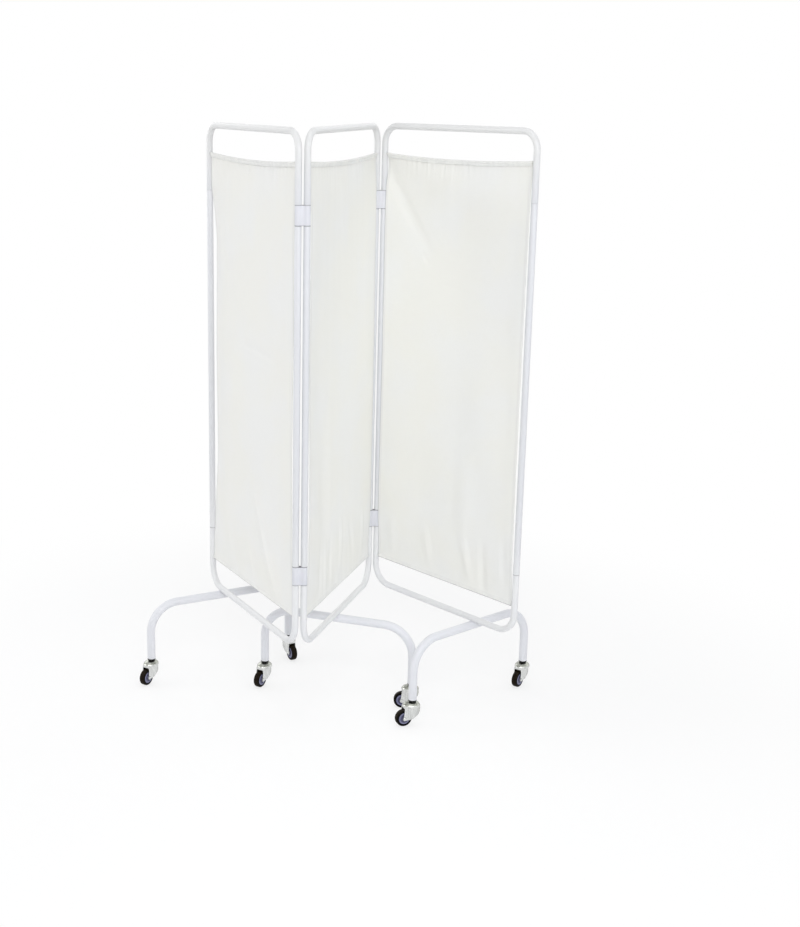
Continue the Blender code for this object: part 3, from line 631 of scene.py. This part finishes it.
finishes = {  # the record's slot and the finish
    "bow": ("tube_enamel", enamel("enamelOnBows", tubeSeams("bow", 0), paintedLowWhite["rail"])),
    "plain": ("tube_enamel", enamel("enamelOnOuterUprights", tubeSeams("plain", fitGap), paintedLowWhite["rail"])),
    "hinged": ("tube_enamel", enamel(
        "enamelOnHingedUprights", tubeSeams("hinged", blockHeight + 2 * fitGap), paintedLowWhite["rail"])),
    "leg": ("tube_enamel", enamel("enamelOnLegs", [(legFoot, seamDark["leg"])], paintedLowWhite["leg"])),
    "nylon": ("hinge_nylon", nylon(blockEnds)),
    "cotton": ("curtain_cotton", cotton()),
    "wire": ("wire_coating", wireCoat()),
    "zinc": ("fork_zinc", zinc()),
    "rubber": ("tyre_rubber", rubber()),
    "hub": ("hub_plastic", hubGrey()),
    "collar": ("socket_plastic", collarBlack()),
}


# where the panels stand

panelUprights = {
    "left": ("left_outer_upright", "left_inner_upright"),
    "middle": ("middle_front_upright", "middle_rear_upright"),
    "right": ("right_inner_upright", "right_outer_upright"),
}


def panelPlace(panel):  # X runs from its first upright to its second, Z up from the floor
    start, end = (middleOf(node) for node in panelUprights[panel])
    return Matrix.Translation((start.x, start.y, 0)) @ planTurn(start, end)


def legShift(panel):  # from the panel's first upright to its leg
    foot = (middleOf(panel + "_near_socket") + middleOf(panel + "_far_socket")) / 2
    return (panelPlace(panel).inverted() @ foot).x


# tubes

print("tubes")
tubeSet = {
    "radius": 0.0095, "sides": 32, "pitch": 0.600, "bendSteps": 14,
    "topRail": 1.715, "topBend": 0.050, "bottomRail": 0.278, "bottomBend": 0.062,
    "bore": 0.0068, "boreDepth": 0.0215, "rim": 0.0005,
    "spigot": 0.0065, "spigotDepth": 0.020, "spigotRim": 0.0012, "rimSteps": 3,
}
legSet = {
    "radius": 0.0127, "sides": 36, "span": 0.480, "bend": 0.090, "bendSteps": 18, "foot": legFoot,
    "height": 0.2555, "bore": 0.0100, "boreDepth": 0.0243, "rim": 0.0006, "rimSteps": 3,
}


def boreEnd(tube, place, out, size):
    radius, bore = size["radius"], size["bore"]
    pick(tube, "FACE", lambda centre, normal: (centre - place).length < 0.001 and normal.dot(out) > 0.9)
    bpy.ops.mesh.inset(thickness=radius - bore)
    pull(out * -size["boreDepth"])
    middle = (radius + bore) / 2
    pick(tube, "EDGE", lambda corner: abs((corner - place).dot(out)) < 0.0001
         and middle < (corner - place).length < radius + 0.001)
    bpy.ops.mesh.bevel(offset=size["rim"], segments=size["rimSteps"], affect="EDGES")


def archTube(name, size, start, side, up, rise, bend, span):  # up, across and down again, bored at both ends
    start, side, up = Vector(start), Vector(side), Vector(up)
    straight = up * (rise - bend)
    corner = start + straight
    tube = disc(name, size["sides"], size["radius"], location=start)
    startEdit(tube, "FACE")
    for run, shift in ((straight, bend), (side * (span - 2 * bend), span - bend)):
        pull(run)  # and round a bend; with no window, spin turns the other way
        bpy.ops.mesh.spin(steps=size["bendSteps"], angle=-pi / 2, center=corner + side * shift,
                          axis=up.cross(side))
    pull(-straight)
    outwards()
    for end in (start, start + side * span):
        boreEnd(tube, end, -up, size)
    stopEdit()
    return smooth(tube)


def makeUpright(name, room):  # a rod with reduced ends, shortened by the room for its blocks
    size = tubeSet
    top, bottom = bowEnds["top"] - fitGap - room, bowEnds["bottom"] + fitGap + room
    rod = roundBar(name, size["sides"], size["radius"], top - bottom, location=(0, 0, (top + bottom) / 2))
    startEdit(rod, "FACE")
    for end, out, tip in ((top, 1, bowEnds["top"] + size["spigotDepth"]),
                          (bottom, -1, bowEnds["bottom"] - size["spigotDepth"])):
        pick(rod, "FACE", lambda centre, normal: abs(centre.z - end) < 0.0001 and normal.z * out > 0.9)
        bpy.ops.mesh.inset(thickness=size["radius"] - size["spigot"])
        pull((0, 0, tip - end))
        for height, radius, width in ((end, size["radius"], size["rim"]),
                                      (tip, size["spigot"], size["spigotRim"])):
            pick(rod, "EDGE", lambda corner: abs(corner.z - height) < 0.0001
                 and abs(corner.xy.length - radius) < 0.0004)
            bpy.ops.mesh.bevel(offset=width, segments=size["rimSteps"], affect="EDGES")
    stopEdit()
    return smooth(rod)


weldSet = {"neck": 0.0058, "toe": 0.0086, "sides": 44, "rings": 8, "bury": 0.0004,
           "ripple": 0.00022, "ripples": 15, "rippleBend": 3}


def makeWeld(name):  # the bead between a leg's top and the rail above it
    size = weldSet
    bead = disc(name, size["sides"], size["toe"])
    startEdit(bead, "FACE")
    step = 0.01
    for ring in range(size["rings"]):
        pull((0, 0, step))
    stopEdit()
    for corner in bead.data.vertices:  # each ring goes between the two tubes' skins
        share = corner.co.z / step / size["rings"]
        turn = atan2(corner.co.y, corner.co.x)
        waist = sin(pi * share)
        radius = size["toe"] + (size["neck"] - size["toe"]) * waist
        ripple = sin(size["ripples"] * turn + size["rippleBend"] * sin(2 * turn))
        radius += size["ripple"] * waist * ripple
        x, y = radius * cos(turn), radius * sin(turn)
        low = legSet["height"] + sqrt(legSet["radius"] ** 2 - x * x) - size["bury"]
        high = tubeSet["bottomRail"] - sqrt(tubeSet["radius"] ** 2 - y * y) + size["bury"]
        corner.co = (x, y, low + (high - low) * share)
    startEdit(bead)
    outwards()
    stopEdit()
    return smooth(bead, 60)


def dressTubes():
    size, leg = tubeSet, legSet
    models = {
        "top": archTube("topBowModel", size, (0, 0, bowEnds["top"]), (1, 0, 0), (0, 0, 1),
                        size["topRail"] - bowEnds["top"], size["topBend"], size["pitch"]),
        "bottom": archTube("bottomBowModel", size, (0, 0, bowEnds["bottom"]), (1, 0, 0), (0, 0, -1),
                           bowEnds["bottom"] - size["bottomRail"], size["bottomBend"], size["pitch"]),
        "plain": makeUpright("outerUprightModel", 0.0),
        "hinged": makeUpright("hingedUprightModel", blockHeight + fitGap),
        "leg": archTube("legModel", leg, (0, -leg["span"] / 2, leg["foot"]), (0, 1, 0), (0, 0, 1),
                        leg["height"] - leg["foot"], leg["bend"], leg["span"]),
        "weld": makeWeld("weldModel"),
    }
    for panel, uprights in panelUprights.items():
        where = panelPlace(panel)
        body = panel + "_panel"
        for kind in ("top", "bottom"):
            node = panel + "_" + kind + "_bow"
            dress(models[kind], node + "_tube", where, body, "bow", node)
        for node, x in zip(uprights, (0, size["pitch"])):
            kind = "plain" if "outer" in node else "hinged"
            dress(models[kind], node + "_tube", where @ Matrix.Translation((x, 0, 0)), body, kind, node)
        across = where @ Matrix.Translation((legShift(panel), 0, 0))
        dress(models["leg"], panel + "_leg_tube", across, body, "leg", panel + "_leg")
        dress(models["weld"], panel + "_leg_weld", across @ Matrix.Rotation(pi, 4, "Z"), body, "leg")
    putAway(models.values())


dressTubes()


# hinge blocks

print("hinge blocks")
blockSet = {"pitch": 0.024, "radius": 0.0095, "web": 0.0135, "bore": 0.0068, "sides": 40, "round": 0.0007}


def makeBlock(name):  # two barrels and the web between them, bored through
    size = blockSet
    half = size["pitch"] / 2

    def barrel(title, x, radius, depth):
        return roundBar(title, size["sides"], radius, depth, location=(x, 0, 0))

    block = barrel(name, -half, size["radius"], blockHeight)
    combine(block, barrel("secondBarrel", half, size["radius"], blockHeight), "UNION")
    combine(block, newPiece("web", bpy.ops.mesh.primitive_cube_add, size=1,
                            scale=(size["pitch"], size["web"], blockHeight)), "UNION")
    for x in (-half, half):
        combine(block, barrel("bore", x, size["bore"], blockHeight * 1.2), "DIFFERENCE")
    startEdit(block)
    outwards()
    stopEdit()
    roundEdges(block, size["round"], 3, 60)
    return smooth(block, 40)


def dressBlocks():
    model = makeBlock("blockModel")
    for fold, first, second in (("front", "left_inner_upright", "middle_front_upright"),
                                ("rear", "middle_rear_upright", "right_inner_upright")):
        turn = planTurn(middleOf(first), middleOf(second))
        for level in ("upper", "lower"):
            node = fold + "_" + level + "_hinge"
            where = Matrix.Translation(middleOf(node)) @ turn
            dress(model, node + "_block", where, fold + "_hinges", "nylon", node)
    putAway([model])


dressBlocks()


# curtains and their wires

print("curtains")
creaseSet = {  # from and to in shares across and down, then width and height in metres
    "left": (
        ((0.08, 0.02), (0.08, 0.36), 0.050, -0.0030), ((0.34, 0.418), (0.86, 0.437), 0.022, 0.0036),
        ((0.52, 0.74), (0.69, 0.90), 0.024, -0.0028), ((0.62, 0.84), (0.84, 1.02), 0.028, -0.0050),
        ((0.46, 0.88), (0.54, 1.01), 0.022, -0.0030), ((0.20, 0.89), (0.27, 1.0), 0.026, -0.0020),
    ),
    "middle": (
        ((0.235, 0.52), (0.245, 0.93), 0.058, 0.0034), ((0.505, 0.83), (0.515, 0.98), 0.024, -0.0034),
        ((0.20, 0.85), (0.205, 1.01), 0.022, 0.0036), ((0.275, 0.86), (0.28, 1.01), 0.020, -0.0034),
        ((0.345, 0.86), (0.35, 1.0), 0.020, 0.0032), ((0.64, 0.85), (0.74, 0.99), 0.024, 0.0024),
        ((0.86, 0.86), (0.88, 0.99), 0.022, -0.0022),
    ),
    "right": (
        ((-0.16, -0.07), (0.40, 0.245), 0.036, 0.0042), ((0.28, 0.208), (0.35, 0.246), 0.014, 0.0018),
        ((0.64, 0.64), (0.668, 0.93), 0.060, -0.0044), ((0.625, 0.855), (0.725, 1.01), 0.026, -0.0044),
        ((0.785, 0.87), (0.80, 1.01), 0.024, 0.0040), ((0.74, 0.40), (0.78, 0.76), 0.110, -0.0052),
        ((0.35, 0.88), (0.42, 1.0), 0.026, -0.0024), ((0.12, 0.87), (0.10, 1.0), 0.030, -0.0020),
        ((0.93, 0.84), (0.95, 1.0), 0.022, 0.0026),
    ),
}
curlSet = {  # free side edges stand off: edge, how far, and share of the width it dies over
    "left": ((0, 0.0090, 0.22), (1, -0.0020, 0.15)),
    "middle": ((0, -0.0030, 0.18), (1, -0.0020, 0.25)),
    "right": ((0, -0.0020, 0.15), (1, -0.0015, 0.12)),
}
curlHeld = 0.14  # the wires hold this share of the side edges at the head and at the foot
bellySet = {"depth": -0.0045, "head": 0.07, "foot": 0.11,  # the slack cloth swells out between its wires
            "least": 0.75, "uneven": 0.5, "wide": 0.16, "long": 3.1, "seed": 19.0}
drawnEdge = {  # the left panel's free outer edge
    "depth": 0.0215, "starts": (0.07, 0.20), "ends": (0.70, 0.88), "dies": 5,
}
gatherSet = {"height": 0.0022, "fade": 0.030, "wide": 0.0105, "fine": 0.0047}  # under the head hem
waveSet = {  # unevenness: height, widths across and down, and how far it fades or grows, in metres
    "foot": {"height": 0.0026, "wide": 0.030, "long": 0.09, "seed": 31.0, "fade": 0.045},
    "streak": {"height": 0.0010, "wide": 0.034, "long": 0.30, "seed": 7.0, "fade": 0.16, "least": 0.35},
    "broad": {"height": 0.0022, "wide": 0.13, "long": 0.42, "seed": 13.0, "fade": 0.08},
}
hemSet = {
    "uneven": 0.0006, "unevenWide": 0.006, "unevenStep": 0.21, "swell": 0.30, "follow": 0.12,
    "lift": 0.0006, "liftWide": 0.021, "liftFade": 0.02, "liftAtWire": 0.4, "liftAtFoot": 0.3,
}
sideWander = {"far": 0.0009, "long": 0.09}
panelSeed = {"left": 3.7, "middle": 11.3, "right": 23.9}


def wander(*place):  # smooth noise at a place
    return noise.noise(Vector(place))


def ridge(distance, width):
    share = abs(distance) / width
    return cos(share * pi / 2) ** 2 if share < 1 else 0.0


def eased(value, low, high):  # 0 below low, 1 above high, smooth between
    share = min(max((value - low) / (high - low), 0.0), 1.0)
    return share * share * (3 - 2 * share)


def crease(x, down, start, end, width, height):  # a ridge along a line, dying away at both its ends
    size = clothSet
    first = (start[0] * size["width"], start[1] * size["body"])
    run = (end[0] * size["width"] - first[0], end[1] * size["body"] - first[1])
    length = hypot(*run)
    away = (x - first[0], down - first[1])
    along = (away[0] * run[0] + away[1] * run[1]) / length ** 2
    if not 0 < along < 1:
        return 0.0
    return height * sin(pi * along) * ridge((away[0] * run[1] - away[1] * run[0]) / length, width)


def headSag(across):
    return clothSet["sag"] * 4 * across * (1 - across)


def wave(kind, x, drop, seed):
    size = waveSet[kind]
    return size["height"] * wander(x / size["wide"], drop / size["long"], seed + size["seed"])


def standOff(panel, across, drop):  # from the cloth's plane; drop in metres below the head hem
    seed = panelSeed[panel]
    body = clothSet["body"]
    down = drop / body
    x = across * clothSet["width"]
    depth = sum(crease(x, drop, *stroke) for stroke in creaseSet[panel])
    belly = bellySet
    slack = eased(down, 0.0, belly["head"]) * (1 - eased(down, 1 - belly["foot"], 1.0))
    uneven = belly["uneven"] * wander(x / belly["wide"], down * belly["long"], seed + belly["seed"])
    depth += belly["depth"] * (belly["least"] + uneven) * slack
    free = eased(down, 0.0, curlHeld) * (1 - eased(down, 1 - curlHeld, 1.0))
    for edge, far, reach in curlSet[panel]:
        depth += far * free * (1 - eased(abs(across - edge), 0.0, reach))
    gather = wander(x / gatherSet["wide"], seed, 0.0) + 0.5 * wander(x / gatherSet["fine"], seed, 4.0)
    depth += gatherSet["height"] * exp(-drop / gatherSet["fade"]) * gather
    depth += exp(-(body - drop) / waveSet["foot"]["fade"]) * wave("foot", x, drop, seed)
    least = waveSet["streak"]["least"]
    fade = least + (1 - least) * exp(-drop / waveSet["streak"]["fade"])
    depth += fade * wave("streak", x, drop, seed)
    calm = waveSet["broad"]["fade"]
    return depth + min(1.0, drop / calm, (body - drop) / calm) * wave("broad", x, drop, seed)


def hemPoints():  # once round the wire: (across the hem, up from the wire), from the back seam to the front
    size = clothSet
    layer = size["layerGap"] / 2
    shares = (1.0, 0.86, 0.70, 0.52, 0.34, 0.16)
    side = [(-layer - (size["hemRound"] - layer) * (1 - share) ** 2 * 0.9, -share * size["fall"])
            for share in shares]
    loop = arc(0, 0, size["hemRound"], 180, 0, size["hemSteps"])
    return side + loop + [(-y, z) for y, z in reversed(side)]


def bodyDrops():  # rows between the hems, close near both and wider in the middle
    size = clothSet
    drops = [0.0]
    gap = size["firstRow"]
    while drops[-1] < size["body"] / 2:
        drops.append(drops[-1] + gap)
        gap = min(gap * size["rowGrowth"], size["rowGap"])
    squeeze = size["body"] / 2 / drops[-1]
    upper = [drop * squeeze for drop in drops]
    return (upper + [size["body"] - drop for drop in reversed(upper[:-1])])[1:-1]


def hangCorner(panel, across, row, part, y, z):  # part of the cloth, and its row's place across and up
    size = clothSet
    seed = panelSeed[panel]
    x = size["inset"] + size["width"] * across
    lift = wander(across * size["width"] / hemSet["liftWide"], seed, 9.0) * hemSet["lift"]
    drop = min(max(size["topWire"] - size["fall"] - z, 0.0), size["body"])
    share = drop / size["body"]
    if part == "body":
        y += standOff(panel, across, drop)
        z += lift * exp(-drop / hemSet["liftFade"])
    else:
        top = part == "head"
        below = (size["topWire"] - z if top else z - size["bottomWire"]) / size["fall"]
        hang = min(max(below, 0.0), 1.0)
        uneven = wander(x / hemSet["unevenWide"], row * hemSet["unevenStep"], seed + 3.0)
        swell = 1 + hemSet["uneven"] / size["hemRound"] * uneven
        swell += hemSet["swell"] if top else 0.0
        follow = hemSet["follow"] + (1 - hemSet["follow"]) * hang
        y = y * swell + standOff(panel, across, 0.0 if top else size["body"]) * follow
        least = hemSet["liftAtWire"]
        z += lift * (least + (1 - least) * hang if top else hemSet["liftAtFoot"])
    x += sideWander["far"] * wander(z / sideWander["long"], seed, 2.0 + across * 3.0)
    if panel == "left":
        drawn = eased(share, *drawnEdge["starts"]) * (1 - eased(share, *drawnEdge["ends"]))
        x += drawnEdge["depth"] * (1 - across) ** drawnEdge["dies"] * drawn
    return x, y, z - headSag(across) * (1 - share)


def makeCurtain(panel):
    size = clothSet
    hem, body = hemPoints(), bodyDrops()
    spots = [("head", y, size["topWire"] + z) for y, z in hem]
    spots += [("body", size["layerGap"] * (0.5 - drop / size["body"]), size["topWire"] - size["fall"] - drop)
              for drop in body]
    spots += [("foot", -y, size["bottomWire"] - z) for y, z in reversed(hem)]  # turned up at the back
    path = [0.0]  # length down the path, for the cloth's own flat coordinates
    for last, spot in zip(spots, spots[1:]):
        path.append(path[-1] + hypot(spot[1] - last[1], spot[2] - last[2]))
    rows = len(spots)
    cloth = newPiece(panel + "_curtain_cloth", bpy.ops.mesh.primitive_grid_add,
                     x_subdivisions=size["columns"], y_subdivisions=rows - 1, size=1)
    flats = []
    for corner in cloth.data.vertices:  # the grid is hung over the wires, row by row
        across = corner.co.x + 0.5
        row = round((0.5 - corner.co.y) * (rows - 1))
        corner.co = hangCorner(panel, across, row, *spots[row])
        flats.append((across * size["width"], path[row]))
    flatMap = cloth.data.uv_layers.active or cloth.data.uv_layers.new()
    flatMap.name = "flat"
    for loop in cloth.data.loops:
        flatMap.data[loop.index].uv = flats[loop.vertex_index]
    doubled = cloth.vertex_groups.new(name="doubled")  # the turned side hems are thicker
    sides = [index for index, flat in enumerate(flats)
             if min(flat[0], size["width"] - flat[0]) < size["sideHem"]]
    doubled.add(sides, 1.0, "REPLACE")
    change(cloth, "SOLIDIFY", thickness=size["thick"], offset=0.0, vertex_group="doubled",
           thickness_vertex_group=size["sideThin"])
    bpy.ops.object.shade_smooth()
    setDown(cloth, panelPlace(panel))
    return cloth


wireSet = {"radius": 0.00225, "seat": 0.0036, "sides": 16, "bays": 24}


def makeWire(name, top):  # a disc pushed along the wire's line, sagging with the cloth's head
    size = wireSet
    inset, width, pitch = clothSet["inset"], clothSet["width"], clothSet["panelPitch"]
    places = [inset + width * bay / size["bays"] for bay in range(size["bays"] + 1)]
    places = [size["seat"], *places, pitch - size["seat"]]

    def level(x):
        share = min(max((x - inset) / width, 0.0), 1.0)
        return (clothSet["topWire"] - headSag(share)) if top else clothSet["bottomWire"]

    wire = disc(name, size["sides"], size["radius"], location=(places[0], 0, level(places[0])),
                rotation=(0, pi / 2, 0))
    startEdit(wire, "FACE")
    for last, place in zip(places, places[1:]):
        pull((place - last, 0, level(place) - level(last)))
    outwards()
    stopEdit()
    return smooth(wire)


def hangCurtains():
    for panel in panelUprights:
        body = panel + "_panel"
        cloth = makeCurtain(panel)
        fit(cloth, body, "cotton", panel + "_curtain")
        for level in ("top", "bottom"):
            node = panel + "_" + level + "_wire"
            wire = makeWire(node + "_spring", level == "top")
            setDown(wire, panelPlace(panel))
            fit(wire, body, "wire", node)


hangCurtains()


# casters

print("casters")
casterSet = {
    "height": 0.0727, "trail": 0.028, "axleHeight": 0.025186, "innerHalf": 0.0110, "plate": 0.0022,
    "headRadius": 0.0225, "headNose": 1.38, "stem": 0.004, "stemLength": 0.021,
    "dome": ((0.0100, 0), (0.0124, 0.0006), (0.0158, 0.0016), (0.0188, 0.0034), (0.0210, 0.0060),
             (0.0222, 0.0090), (0.0225, 0.0118), (0.0221, 0.0136), (0.0212, 0.0142), (0, 0.0142)),
    # the yoke's outline from the side, in shares of the head's radius and of the height
    "rear": ((-0.96, 0.880), (-0.985, 0.740), (-0.90, 0.620), (-0.56, 0.455), (0.08, 0.300)),
    "front": ((1.40, 0.420), (1.33, 0.600), (1.27, 0.780), (1.20, 0.880)),
    "noseRadius": 0.0064, "noseBack": 0.0006, "noseTurn": (238, 368), "noseSteps": 12,
    "backShare": 0.99, "backRound": 0.0085, "backSteps": 7, "roof": 0.800,
    "axleHole": 0.0033, "round": 0.0005,
    "holeSides": 24, "domeSteps": 56, "rivetSteps": 32, "collarSteps": 48,
    "rivet": ((0, 0.0017), (0.0016, 0.0016), (0.0032, 0.0013), (0.0043, 0.0008), (0.0048, 0.0003),
              (0.0048, 0), (0.0030, 0)),
}
wheelSet = {
    "radius": 0.02518, "half": 0.009, "steps": 64, "shoulder": 0.0040,
    "shoulderTurns": (0, 18, 36, 54, 72, 86),
    "groove": ((0.0205, 0), (0.0208, 0.0003), (0.0212, 0.0003), (0.0215, 0)),  # radius and depth
    "hub": 0.0175, "hubFloor": 0.0072, "hubSteps": 56,
}
wayOut = 0.06  # further than the yoke reaches


def prism(name, points, shift):  # an outline drawn point by point, filled, and pulled out
    solid = drawLine(name, points)
    bpy.ops.mesh.select_all(action="SELECT")
    bpy.ops.mesh.edge_face_add()
    pull(shift)
    outwards()
    stopEdit()
    return solid


def sideCut(name, outline):  # an outline seen from the side, right through the yoke
    return prism(name, [(x, -wayOut / 2, z) for x, z in outline], (0, wayOut, 0))


def planCut(name, inset, low):  # the yoke from above: a round back and an open front
    size = casterSet
    half = size["innerHalf"] + size["plate"] - inset
    back = inset - size["headRadius"] * size["backShare"]
    turn = size["backRound"] - inset
    corners = arc(back + turn, half - turn, turn, 90, 180, size["backSteps"])
    corners += arc(back + turn, turn - half, turn, 180, 270, size["backSteps"])
    outline = [(wayOut, half)] + corners + [(wayOut, -half)]
    return prism(name, [(x, y, low) for x, y in outline], (0, 0, 2 * wayOut))


def makeFork():  # a pressed yoke under a domed head, with its stem
    size = casterSet
    top, reach, plate = size["height"], size["headRadius"], size["plate"]
    rear, front = ([(reach * x, top * z) for x, z in size[side]] for side in ("rear", "front"))
    nose = arc(size["trail"] - size["noseBack"], size["axleHeight"], size["noseRadius"], *size["noseTurn"],
               size["noseSteps"])
    yoke = sideCut("forkModel", rear + nose + front)
    combine(yoke, planCut("plan", 0, -0.02), "INTERSECT")
    stemTop = top + size["stemLength"]
    profile = [(0, stemTop), (size["stem"], stemTop), (size["stem"], top)]
    dome = turned("dome", profile + [(radius, top - deep) for radius, deep in size["dome"]],
                  size["domeSteps"])
    startEdit(dome)  # the head's front is drawn out over the wheel
    pick(dome, "VERT", lambda place: place.x > 0.0001 and place.xy.length > 0.009)
    bpy.ops.transform.resize(value=(size["headNose"], 1, 1), center_override=(0, 0, 0))
    stopEdit()
    combine(yoke, dome, "UNION")
    roof = top * size["roof"] - plate
    wall = [(x + plate, z) for x, z in rear[1:]]
    below = -0.01
    pocket = sideCut("pocket", [
        (wall[0][0], roof), *wall, (wall[-1][0], below), (wayOut, below), (wayOut, roof)])
    combine(pocket, planCut("pocketPlan", plate, -0.03), "INTERSECT")
    combine(yoke, pocket, "DIFFERENCE")
    hole = roundBar("axleHole", size["holeSides"], size["axleHole"], 0.05,
                    location=(size["trail"], 0, size["axleHeight"]), rotation=(pi / 2, 0, 0))
    combine(yoke, hole, "DIFFERENCE")
    roundEdges(yoke, size["round"], 2, 50)
    return smooth(yoke, 40)


def makeRivet():  # turned about Z, then laid across the fork
    seat = casterSet["innerHalf"] + casterSet["plate"] + fitGap
    upper = [(radius, seat + height) for radius, height in casterSet["rivet"]]
    return smooth(turned("rivetModel", mirrored(upper), casterSet["rivetSteps"]), 40)


def makeTyre():
    size = wheelSet
    half, shoulder, bore = size["half"], size["shoulder"], size["hub"] + fitGap
    upper = [(bore, half - 0.0010), (bore + 0.0008, half)]
    upper += [(radius, half - deep) for radius, deep in size["groove"]]
    for turn in size["shoulderTurns"]:
        upper.append((size["radius"] - shoulder + shoulder * sin(radians(turn)),
                      half - shoulder + shoulder * cos(radians(turn))))
    return smooth(turned("tyreModel", mirrored(upper) + upper[:1], size["steps"]), 40)


def makeHub():
    size = wheelSet
    half, rim, deep = size["half"], size["hub"], size["hubFloor"]
    boss = casterSet["innerHalf"] - fitGap
    upper = [(0.0033, boss), (0.0060, boss), (0.0065, boss - 0.0006), (0.0067, deep + 0.0006), (0.0074, deep),
             (0.0118, deep), (0.0124, deep + 0.0006), (0.0127, half - 0.0005), (0.0132, half),
             (rim - 0.0008, half), (rim, half - 0.0008)]
    return smooth(turned("hubModel", mirrored(upper) + upper[:1], size["hubSteps"]))


def makeCollar():  # the plug inside the leg's foot, and the ring that shows under it
    floor = casterSet["height"]
    low, high, roof, hole = floor + fitGap, floor + 0.0063, floor + 0.0223, 0.0043
    top = high + 0.024
    profile = [(0, top), (0.0090, top), (0.0097, top - 0.0008), (0.0097, high), (0.0124, high),
               (0.0128, high - 0.0004), (0.0127, high - 0.0014), (0.0120, high - 0.0032),
               (0.0108, low + 0.0008), (0.0100, low), (hole, low), (hole, roof), (0, roof)]
    return smooth(turned("collarModel", profile, casterSet["collarSteps"]))


def dressCasters():
    models = {"fork": makeFork(), "axle": makeRivet(), "tyre": makeTyre(), "hub": makeHub(),
              "socket": makeCollar()}
    onAxle = ("axle", "tyre", "hub")
    for kind in onAxle:
        setDown(models[kind], Matrix.Rotation(pi / 2, 4, "X"))
    for model in models.values():
        keepPlaces(model)
    pieces = {  # how each piece's name ends, the body that it rides on, and its finish
        "fork": ("_pressing", "_swivel", "zinc"), "axle": ("_rivet", "_swivel", "zinc"),
        "tyre": ("_ring", "_wheel", "rubber"), "hub": ("_moulding", "_wheel", "hub"),
        "socket": ("_collar", "_panel", "collar"),
    }
    for panel in panelUprights:
        for side in ("near", "far"):
            title = panel + "_" + side
            foot, axle = middleOf(title + "_socket"), middleOf(title + "_axle")
            stand = Matrix.Translation((foot.x, foot.y, 0)) @ planTurn(foot, axle)
            hang = stand @ Matrix.Translation((casterSet["trail"], 0, casterSet["axleHeight"]))
            for kind, (ending, rides, look) in pieces.items():
                node = title + "_" + kind
                body = (panel if kind == "socket" else title) + rides
                dress(models[kind], node + ending, hang if kind in onAxle else stand, body, look, node)
    putAway(models.values())


dressCasters()

bpy.context.scene.view_settings.view_transform = "Standard"
